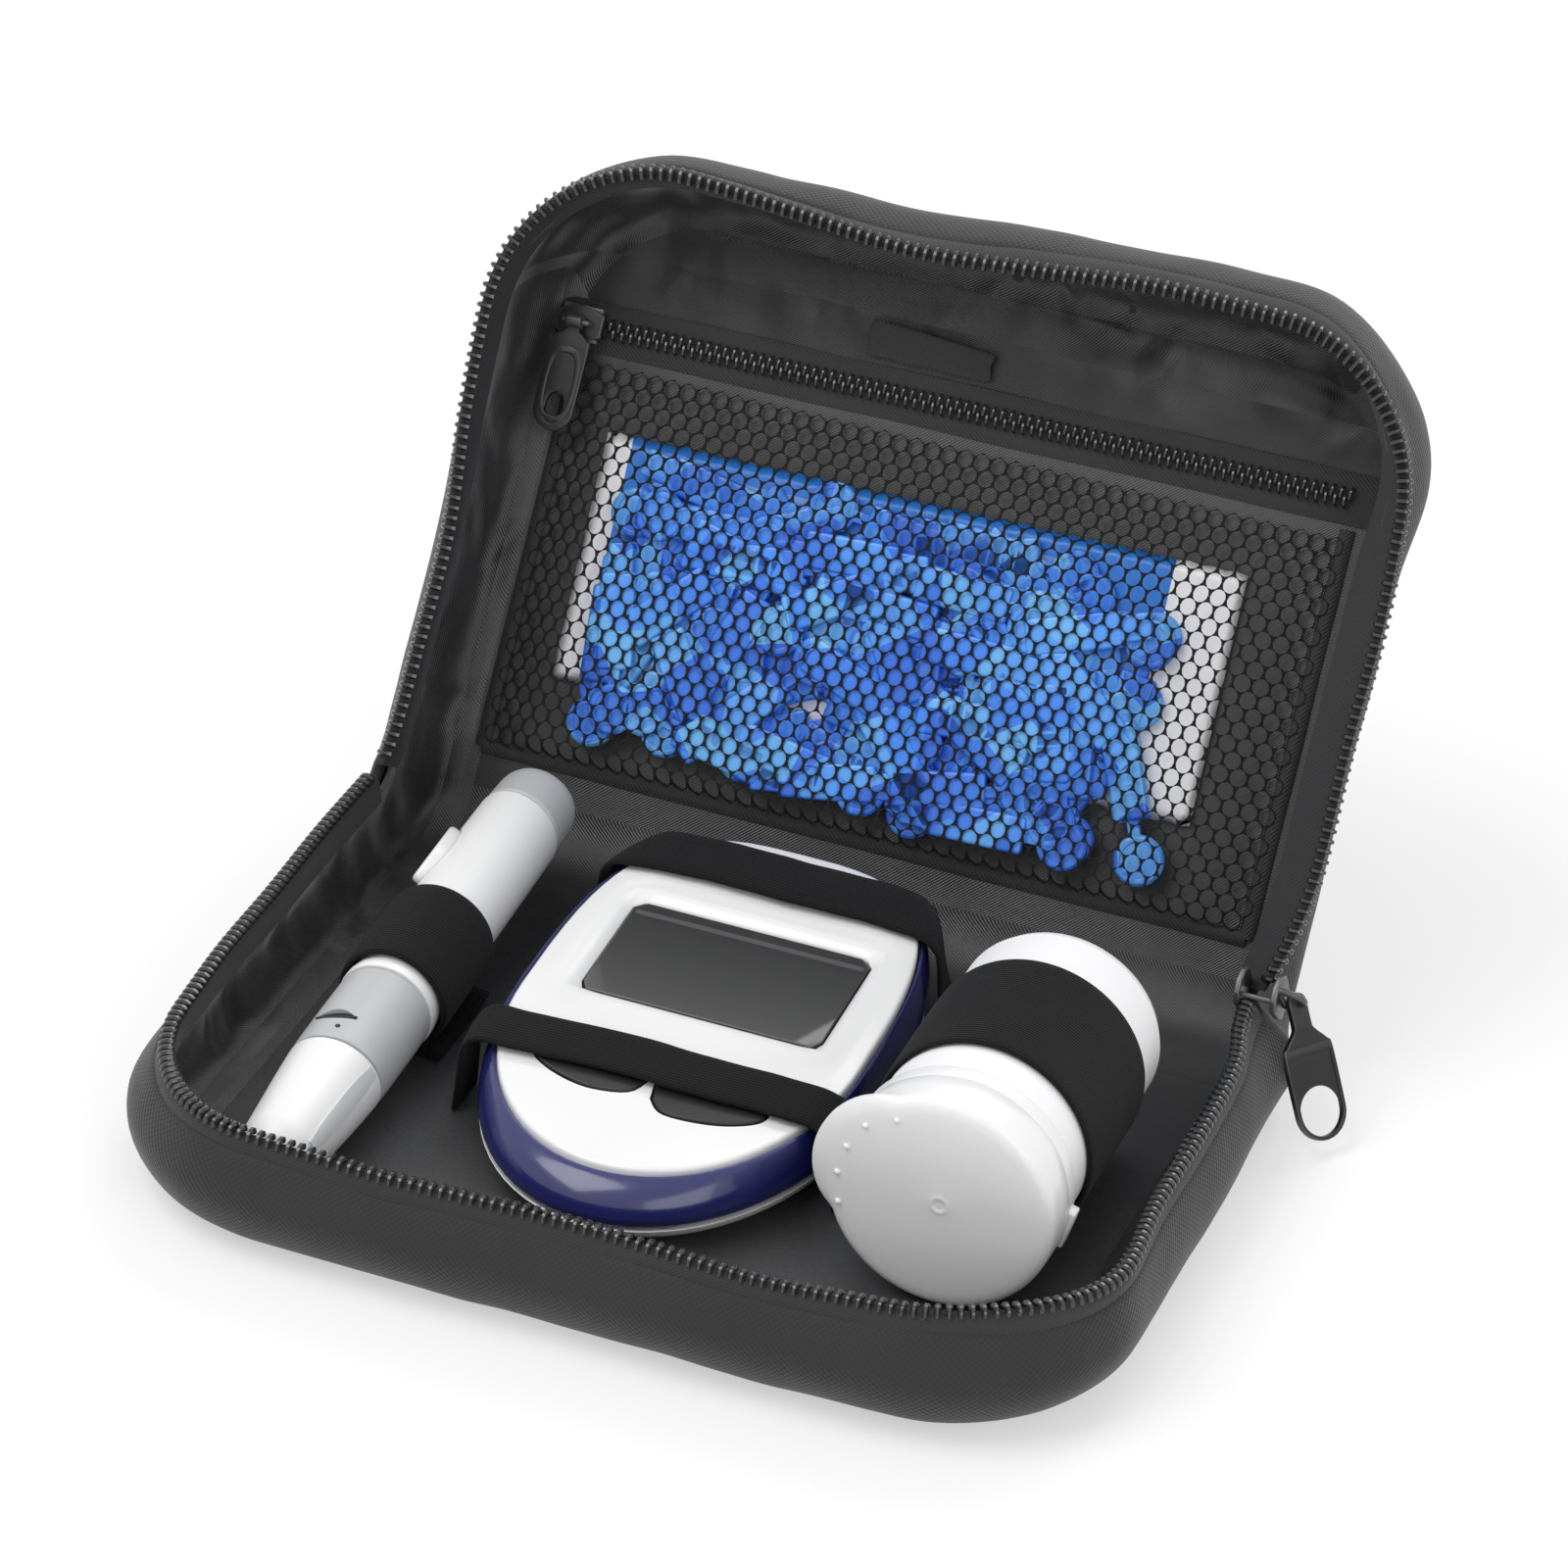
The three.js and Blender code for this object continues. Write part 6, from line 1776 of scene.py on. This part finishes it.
def loop_foot(side):
    """The end of the pen's loop that comes off the round on one side and lies on the floor."""
    rows, flats = [], []
    for k in range(11):
        y = LOOP_START + LOOP_WIDTH * k / 10
        low = FLOOR_TOP + 0.3 - PEN_Z - (PEN_Y + y) * tan(radians(PEN_TILT))
        levels = [max(low, least) + rise for least, rise in ((-9.6, 0.5), (-9.9, 0.45), (-10.2, 0.4))]
        line = through(list(zip((side * 1.2, side * 4.0, side * 6.2, side * 8.2), (-8.75, *levels))), 3)
        rows.append([pen_frame() @ Vector((x, -z, y)) for x, z in line])
        flats.append([(abs(x), y) for x, z in line])
    seen = pen_frame() @ Vector((side * 5, 7, 12)), (0, 0, 1)
    return strip_of("foot", rows, flats, seen, 0.6, offset=0, angle=None)


class KIT_OT_bands(bpy.types.Operator):
    """Elastic bands over the meter, the pen and the vial"""
    bl_idname = "kit.bands"
    bl_label = "Elastic bands"

    def execute(self, context):
        for end, front, width, bow in (("front", -8.3, 9.6, 0.5), ("rear", 43.0, 11.0, 0.6)):
            band = band_across(end + "_band", front, width, bow)
            dressed(band, "Elastic", "elastic", "base", end + "_meter_strap")
        pen = band_round("pen_band", pen_frame(), 8.3, 0.95, LOOP_START, LOOP_WIDTH)
        pen = joined("pen_band", pen, loop_foot(-1), loop_foot(1))
        dressed(pen, "Elastic", "elastic", "base", "pen_loop")
        about_vial = frame_at((VIAL_X, 0, VIAL_Z)) @ ALONG_Y
        vial = band_round("vial_band", about_vial, 16.8, 0.85, -6.5, 26, sides=72)
        dressed(vial, "Elastic", "elastic", "base", "vial_loop")
        return {"FINISHED"}


# Lancing pen; Z of its frame runs along the axis to the rear, and turns are counted from +X

PEN_X, PEN_Y, PEN_Z, PEN_TILT = -51.9, 0.3, 12.5, 4.3
PEN_BORE = 6.1
KEY_TURN, KEY_ALONG = 151, 35.9
MARK_TURN, MARK_ALONG = 108, -13.2


def pen_frame():
    return frame_at((PEN_X, PEN_Y, PEN_Z), PEN_TILT) @ ALONG_Y


def pen_turn(angle):
    """The pen's frame turned so that its X points out at an angle counted from +X towards up."""
    return pen_frame() @ Matrix.Rotation(radians(-angle), 4, "Z")


def on_pen(angle, out, along):
    """A frame on the pen's side, its Z pointing out at a turn."""
    facing_out = Matrix(((0, 0, 1, 0), (0, 1, 0, 0), (1, 0, 0, 0), (0, 0, 0, 1)))
    return pen_turn(angle) @ Matrix.Translation((out, 0, along)) @ facing_out


def waved_end(obj, matrix, near, far, amount, at):
    """Slides the points between two heights along the axis, more on one side, for a curved joint."""
    back = matrix.inverted()
    for vertex in obj.data.vertices:
        place = back @ (vertex.co / MM)
        share = step((place.z - near) / (far - near)) if far > near else step((near - place.z) / (near - far))
        if share > 0:
            angle = atan2(-place.y, place.x)
            place.z += share * amount * (0.5 + 0.5 * cos(angle - radians(at)))
            vertex.co = (matrix @ place) * MM
    obj.data.update()
    return obj


class KIT_OT_pen(bpy.types.Operator):
    """Lancing pen: barrel, depth ring, front cap, cocking sleeve and release button"""
    bl_idname = "kit.pen"
    bl_label = "Lancing pen"

    def execute(self, context):
        here = pen_frame()
        barrel = turned("barrel", rounded([
            (PEN_BORE, 0.3), (8.0, 0.3, 0.25), (8.0, 2.0, 0.3), (7.78, 2.2, 0.2), (7.72, 14, 2), (7.5, 34, 6),
            (7.3, 53.2, 0.3), (7.0, 53.4, 0.1), (5.8, 53.4), (PEN_BORE, 7), (2.8, 7), (2.8, 5), (PEN_BORE, 5),
            (PEN_BORE, 0.3)]), here, 64)
        cut_out(barrel, plate("hole", [ellipse(7.8, 3.3, 40)], 9, 0.01, on_pen(KEY_TURN, 7.0, KEY_ALONG), 0))
        waved_end(barrel, here, 46, 53.2, -1.6, -20)
        dressed(smooth(barrel, 35), "White shell", "white_plastic", "pen", "pen_barrel")
        ring = turned("dial_ring", rounded([
            (PEN_BORE, -17.5), (7.7, -17.5, 0.25), (7.85, -16.6, 0.4), (7.9, -8, 3), (7.85, -0.4, 0.4),
            (7.6, 0, 0.2), (PEN_BORE, 0), (PEN_BORE, -17.5)]), here, 64)
        lens_at = on_pen(MARK_TURN, 7.9, MARK_ALONG)
        cut_out(ring, plate("lens", [lens_outline(3.9, 1.25)], 2.4, 0.01, lens_at, 0))
        waved_end(ring, here, -11, -17.5, -1.5, 105)
        dressed(smooth(ring, 35), "Grey satin", "grey_plastic", "pen", "depth_ring")
        inlay = plate("dial_mark", [lens_outline(3.75, 1.1)], 0.6, 0.1, on_pen(MARK_TURN, 6.9, MARK_ALONG), 1)
        pip_at = pen_turn(94) @ Matrix.Translation((0, 0, -16.4)) @ Matrix.Rotation(radians(90), 4, "Y")
        pip = turned("pip", rounded([(0, 7.7), (0.42, 7.7, 0.1), (0.42, 8.0, 0.1), (0, 8.0)]), pip_at, 12)
        dressed(joined("dial_mark", inlay, pip), "Black rubber", "black_plastic", "pen")
        cap = turned("tip_cap", rounded([
            (PEN_BORE, -17.9), (7.6, -17.9, 0.2), (7.8, -18.3, 0.3), (7.55, -24, 4), (6.9, -32, 5),
            (6.3, -39.6, 1.2), (5.0, -42.2, 1.2), (3.4, -42.3, 0.4), (1.3, -42.3, 0.2), (1.2, -40.6, 0.2),
            (4.4, -38.4, 0.8), (PEN_BORE, -17.9)]), here, 64)
        waved_end(cap, here, -24, -17.9, -1.5, 105)
        window = self.clear_strip()
        dressed(smooth(cap, 35), "White shell", "white_plastic", "depth_cap", "pen_front_cap")
        dressed(window, "Clear grey", "grey_plastic", "depth_cap")
        sleeve = turned("rear_sleeve", rounded([
            (0, 62.3), (4.6, 62.3, 1.0), (6.35, 61.7, 1.1), (6.9, 60.0, 1.2), (7.1, 54.2, 0.3),
            (6.8, 53.8, 0.2), (2.5, 53.8), (2.5, 57.9), (0, 57.9)]), here, 64)
        waved_end(sleeve, here, 60, 53.8, -1.6, -20)
        dressed(smooth(sleeve, 35), "Grey satin", "grey_plastic", "cocking_sleeve", "cocking_sleeve")
        key_at = on_pen(KEY_TURN, 6.95, KEY_ALONG)
        button = plate("release_key", [ellipse(7.4, 2.95, 40)], 4.0, 0.7, key_at, 4)
        dressed(button, "White gloss", "white_plastic", "release_button", "release_button")
        return {"FINISHED"}

    def clear_strip(self):
        """A pale clear window that lies along the cap's right side."""
        rings = []
        for z in [-19.6 - 20.0 * i / 16 for i in range(17)]:
            r = 7.82 if z > -20 else lerp(7.7, 6.45, (-20 - z) / 19.6) + 0.12 * sin(pi * (-20 - z) / 19.6)
            wide = 11.5 * sin(pi * min(max((-18.6 - z) / 22.0, 0.06), 0.94)) ** 0.3
            turns = [radians(28 - wide + 2 * wide * k / 8) for k in range(9)]
            outside = [((r + 0.13) * cos(a), -(r + 0.13) * sin(a), z) for a in turns]
            inside = [((r - 0.5) * cos(a), -(r - 0.5) * sin(a), z) for a in reversed(turns)]
            rings.append(outside + inside)
        return placed(drawn("cap_window", rings, angle=40), pen_frame())


def lens_outline(half_long, half_wide, count=12):
    """A pointed lens, long along its second axis."""
    heights = [half_long * sin(pi * (t / count - 0.5)) for t in range(count + 1)]
    right = [(half_wide * (1 - (y / half_long) ** 2), y) for y in heights]
    return right + [(-x * 0.55, y) for x, y in reversed(right[1:-1])]


# Strip vial

VIAL_X, VIAL_Y, VIAL_Z = 48.3, -25, 21.7


def vial_frame():
    return frame_at((VIAL_X, VIAL_Y, VIAL_Z)) @ ALONG_Y


class KIT_OT_vial(bpy.types.Operator):
    """Strip vial: tube, flip cap with its thumb tab, and plain label"""
    bl_idname = "kit.vial"
    bl_label = "Strip vial"

    def execute(self, context):
        here = vial_frame()
        tube = turned("vial_body", rounded([
            (0, 55.2), (13.6, 55.2, 0.4), (14.6, 56.0, 0.5), (15.7, 56.0, 0.8), (16.0, 55.0, 0.8),
            (16.0, 12.1, 0.3), (16.9, 11.7, 0.4), (17.5, 11.3, 0.5), (17.5, 8.5, 0.4), (16.8, 8.3, 0.3),
            (15.2, 8.3, 0.3), (15.2, 4.3, 0.5), (13.7, 4.3, 0.3), (13.7, 54.3, 0.5), (0, 54.3)]), here, 72)
        lug_at = here @ Matrix.Rotation(radians(15), 4, "Z")
        lug = block("lug", (1.6, 6.6, 2.8), (17.55, 0, 9.9), 0.4, 2, lug_at)
        dressed(joined("vial_body", tube, lug), "White gloss", "white_plastic", "vial", "vial_tube")
        self.cap(here)
        self.label(here)
        return {"FINISHED"}

    def label(self, here):
        """A plain label round the tube, its end lapped over its start."""
        rows, flats = [], []
        for k in range(9):
            z = 12.2 + 41.6 * k / 8
            row, flat = [], []
            for i in range(91):
                angle = radians(60) + 2 * pi * i / 90
                lift = 0.02 * noise.noise(Vector((cos(angle) * 3, sin(angle) * 3, z / 5)))
                r = 16.47 + lift + 0.14 * step((i - 84) / 3)
                row.append((r * cos(angle), r * sin(angle), z))
                flat.append((angle * r, z))
            rows.append(row)
            flats.append(flat)
        label = strip_of("vial_wrap", rows, flats, ((18, 0, 30), (1, 0, 0)), 0.08, offset=0)
        dressed(placed(label, here), "Paper", "paper", "vial", "vial_label")

    def cap(self, here):
        """The cap's face grows into the tab on one side; raised dots lie along the tab."""
        count = 108
        turns = [2 * pi * i / count for i in range(count)]

        def circle(radius, height):
            return [(radius * cos(a), -radius * sin(a), height) for a in turns]

        def reach_at(angle, base, rim_share):
            away = degrees_between(angle, 158) / 40
            tab = 3.3 * (1 - away * away) ** 0.75 if abs(away) < 1 else 0
            return base + tab * rim_share

        middle = ((0.25, 0.05), (0.55, 0.12), (0.85, 0.02), (1.15, -0.10), (1.45, -0.06))
        rings = [circle(radius, height) for radius, height in middle]
        for r, z, share in (
                (1.7, 0.0, 0), (2.0, 0.03, 0), (6, 0.0, 0), (10, 0.0, 0), (13.0, 0.02, 0), (15.4, 0.06, 0),
                (16.6, 0.14, 0.35), (17.35, 0.38, 0.85), (17.72, 0.85, 1.0), (17.82, 1.5, 0.97),
                (17.84, 1.95, 0.8), (17.86, 2.1, 0.1), (17.88, 2.6, 0), (17.9, 5.0, 0), (17.9, 7.5, 0),
                (17.65, 7.95, 0), (15.75, 7.95, 0), (15.68, 7.6, 0), (15.68, 2.3, 0)):
            ring = []
            for angle in turns:
                reach = reach_at(degrees(angle), r, share)
                ring.append((reach * cos(angle), -reach * sin(angle), z))
            rings.append(ring)
        rings.append(circle(13.5, 2.25))
        cap = placed(drawn("flip_cap", rings, start="point", end="point", angle=38), here)
        dots = []
        for angle in (120.7, 139.8, 158.2, 175.9, 194.2):
            radius = 14.9 if angle < 125 else 16.2
            c, s = cos(radians(angle)), sin(radians(angle))
            profile = rounded([(0, -0.42), (0.28, -0.38, 0.1), (0.5, -0.15, 0.15), (0.55, 0.3)])
            dot_at = here @ Matrix.Translation((radius * c, -radius * s, 0.05))
            dots.append(turned("dot", profile, dot_at, 16))
        dressed(joined("flip_cap", cap, *dots), "White gloss", "white_plastic", "vial_cap", "vial_cap")


def degrees_between(a, b):
    return (a - b + 180) % 360 - 180


# Stage

class KIT_OT_stage(bpy.types.Operator):
    """Floor, lamps, world and camera"""
    bl_idname = "kit.stage"
    bl_label = "Stage"

    def execute(self, context):
        bpy.ops.object.select_all(action="DESELECT")
        bpy.ops.mesh.primitive_plane_add(size=8, location=(0, 0, -0.0004))
        ground = context.active_object
        ground.name = "floor"
        ground.data.materials.append(floor_material())
        world_light()
        lamps = (("key", (-0.60, -0.45, 1.35), 0.9, 10.4), ("fill", (0.95, -0.9, 0.7), 0.9, 4.8),
                 ("back", (0.1, 1.1, 1.1), 0.8, 6.2))
        for name, place, size, power in lamps:
            bpy.ops.object.light_add(type="AREA", location=place)
            lamp = context.active_object
            lamp.name = name
            lamp.data.size = size
            lamp.data.energy = power
            ahead = Vector((0, 0.02, 0.04)) - Vector(place)
            lamp.rotation_euler = ahead.to_track_quat("-Z", "Y").to_euler()
        place_camera()
        context.scene.view_settings.view_transform = "Standard"
        return {"FINISHED"}


def seen_directly(graph):
    """1 for rays from the camera, and for what mirrors and glass show."""
    path = graph.node("ShaderNodeLightPath").outputs
    shown = graph.math("ADD", path["Is Camera Ray"], path["Is Transmission Ray"], clamp=True)
    return graph.math("ADD", shown, path["Is Glossy Ray"], clamp=True)


def floor_material():
    """Pale floor that looks white and keeps the shadow."""
    surface, graph, shader = new_material("Floor")
    where = graph.node("ShaderNodeTexCoord").outputs["Object"]
    tone = graph.ramp(graph.noise(where, 3.0), (0.3, 0.93), (0.7, 0.95))
    graph.give(shader, "Base Color", tone)
    graph.give(shader, "Roughness", 0.9)
    shader.inputs["Specular IOR Level"].default_value = 0.0
    glow = graph.node("ShaderNodeEmission", {"Color": (1, 1, 1, 1), "Strength": 1.0})
    share = graph.math("MULTIPLY", seen_directly(graph), 0.5)
    mixed = graph.node("ShaderNodeMixShader", {0: share, 1: shader.outputs[0], 2: glow.outputs[0]})
    graph.give(surface.node_tree.nodes["Material Output"], "Surface", mixed.outputs[0])
    return surface


def world_light():
    world = bpy.data.worlds.new("Studio")
    world.use_nodes = True
    graph = Graph(world.node_tree)
    background = world.node_tree.nodes["Background"]
    graph.give(background, "Color", (1, 1, 1, 1))
    graph.give(background, "Strength", graph.math("MULTIPLY_ADD", seen_directly(graph), 0.38, 0.62))
    bpy.context.scene.world = world


def place_camera():
    view = bpy.context.scene.kit_view
    az, el, roll = view.azimuth, view.elevation, view.roll
    back = Vector((sin(az) * cos(el), -cos(az) * cos(el), sin(el)))
    right = Vector((cos(az), sin(az), 0))
    up = back.cross(right)
    right, up = right * cos(roll) + up * sin(roll), up * cos(roll) - right * sin(roll)
    place = back * view.distance + right * view.right + up * view.up
    bpy.ops.object.camera_add(location=place)
    camera = bpy.context.active_object
    camera.name = "view"
    camera.rotation_euler = Matrix((right, up, back)).transposed().to_euler()
    camera.data.sensor_width = 36
    camera.data.sensor_fit = "HORIZONTAL"
    camera.data.lens = view.lens
    camera.data.clip_start, camera.data.clip_end = 0.05, 20
    bpy.context.scene.camera = camera


CARRIED_OVER = {
    "base_board": "Grey board", "lid_board": "Grey board", "screen_module": "Black rubber",
    "circuit_board": "Circuit", "strip_port": "Black rubber", "coin_cell": "Steel",
    "battery_door": "White shell", "pen_plunger": "Steel", "pen_lancet": "Blue lancet",
    "firing_spring": "Steel", "desiccant_liner": "Paper", "test_strip_1": "White gloss",
    "test_strip_2": "White gloss",
}


class KIT_OT_inner_parts(bpy.types.Operator):
    """Finishes of the solids that stay as they are inside the meter, the pen and the vial"""
    bl_idname = "kit.inner_parts"
    bl_label = "Inner parts"

    def execute(self, context):
        for name, finish in CARRIED_OVER.items():
            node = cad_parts[name]
            node.data.materials.clear()
            node.data.materials.append(bpy.data.materials[finish])
        return {"FINISHED"}


class KIT_PT_panel(bpy.types.Panel):
    """Lists the steps that build the case"""
    bl_idname = "KIT_PT_panel"
    bl_label = "Kit case"
    bl_space_type = "VIEW_3D"
    bl_region_type = "UI"
    bl_category = "Kit case"

    def draw(self, context):
        for group in (context.scene.kit_case, context.scene.kit_zips, context.scene.kit_colours):
            for name in group.bl_rna.properties.keys():
                if name not in {"rna_type", "name"}:
                    self.layout.prop(group, name)
        for step_class in STEPS:
            self.layout.operator(step_class.bl_idname)


GROUPS = {"kit_case": CaseSizes, "kit_zips": ZipSizes, "kit_view": ViewSettings, "kit_colours": CaseColours}
STEPS = (KIT_OT_case_cloth, KIT_OT_case_lining, KIT_OT_main_zip, KIT_OT_main_slider, KIT_OT_pocket_net,
         KIT_OT_pocket_zip, KIT_OT_pocket_contents, KIT_OT_meter, KIT_OT_bands, KIT_OT_pen, KIT_OT_vial,
         KIT_OT_inner_parts, KIT_OT_stage)


def register():
    for kind in (*GROUPS.values(), *STEPS, KIT_PT_panel):
        bpy.utils.register_class(kind)
    for name, kind in GROUPS.items():
        setattr(bpy.types.Scene, name, PointerProperty(type=kind))


def unregister():
    for name in GROUPS:
        delattr(bpy.types.Scene, name)
    for kind in (KIT_PT_panel, *reversed(STEPS), *reversed(tuple(GROUPS.values()))):
        bpy.utils.unregister_class(kind)


def main():
    register()
    make_materials()
    for kind in STEPS:
        group, name = kind.bl_idname.split(".")
        getattr(getattr(bpy.ops, group), name)()


if __name__ == "__main__":
    main()
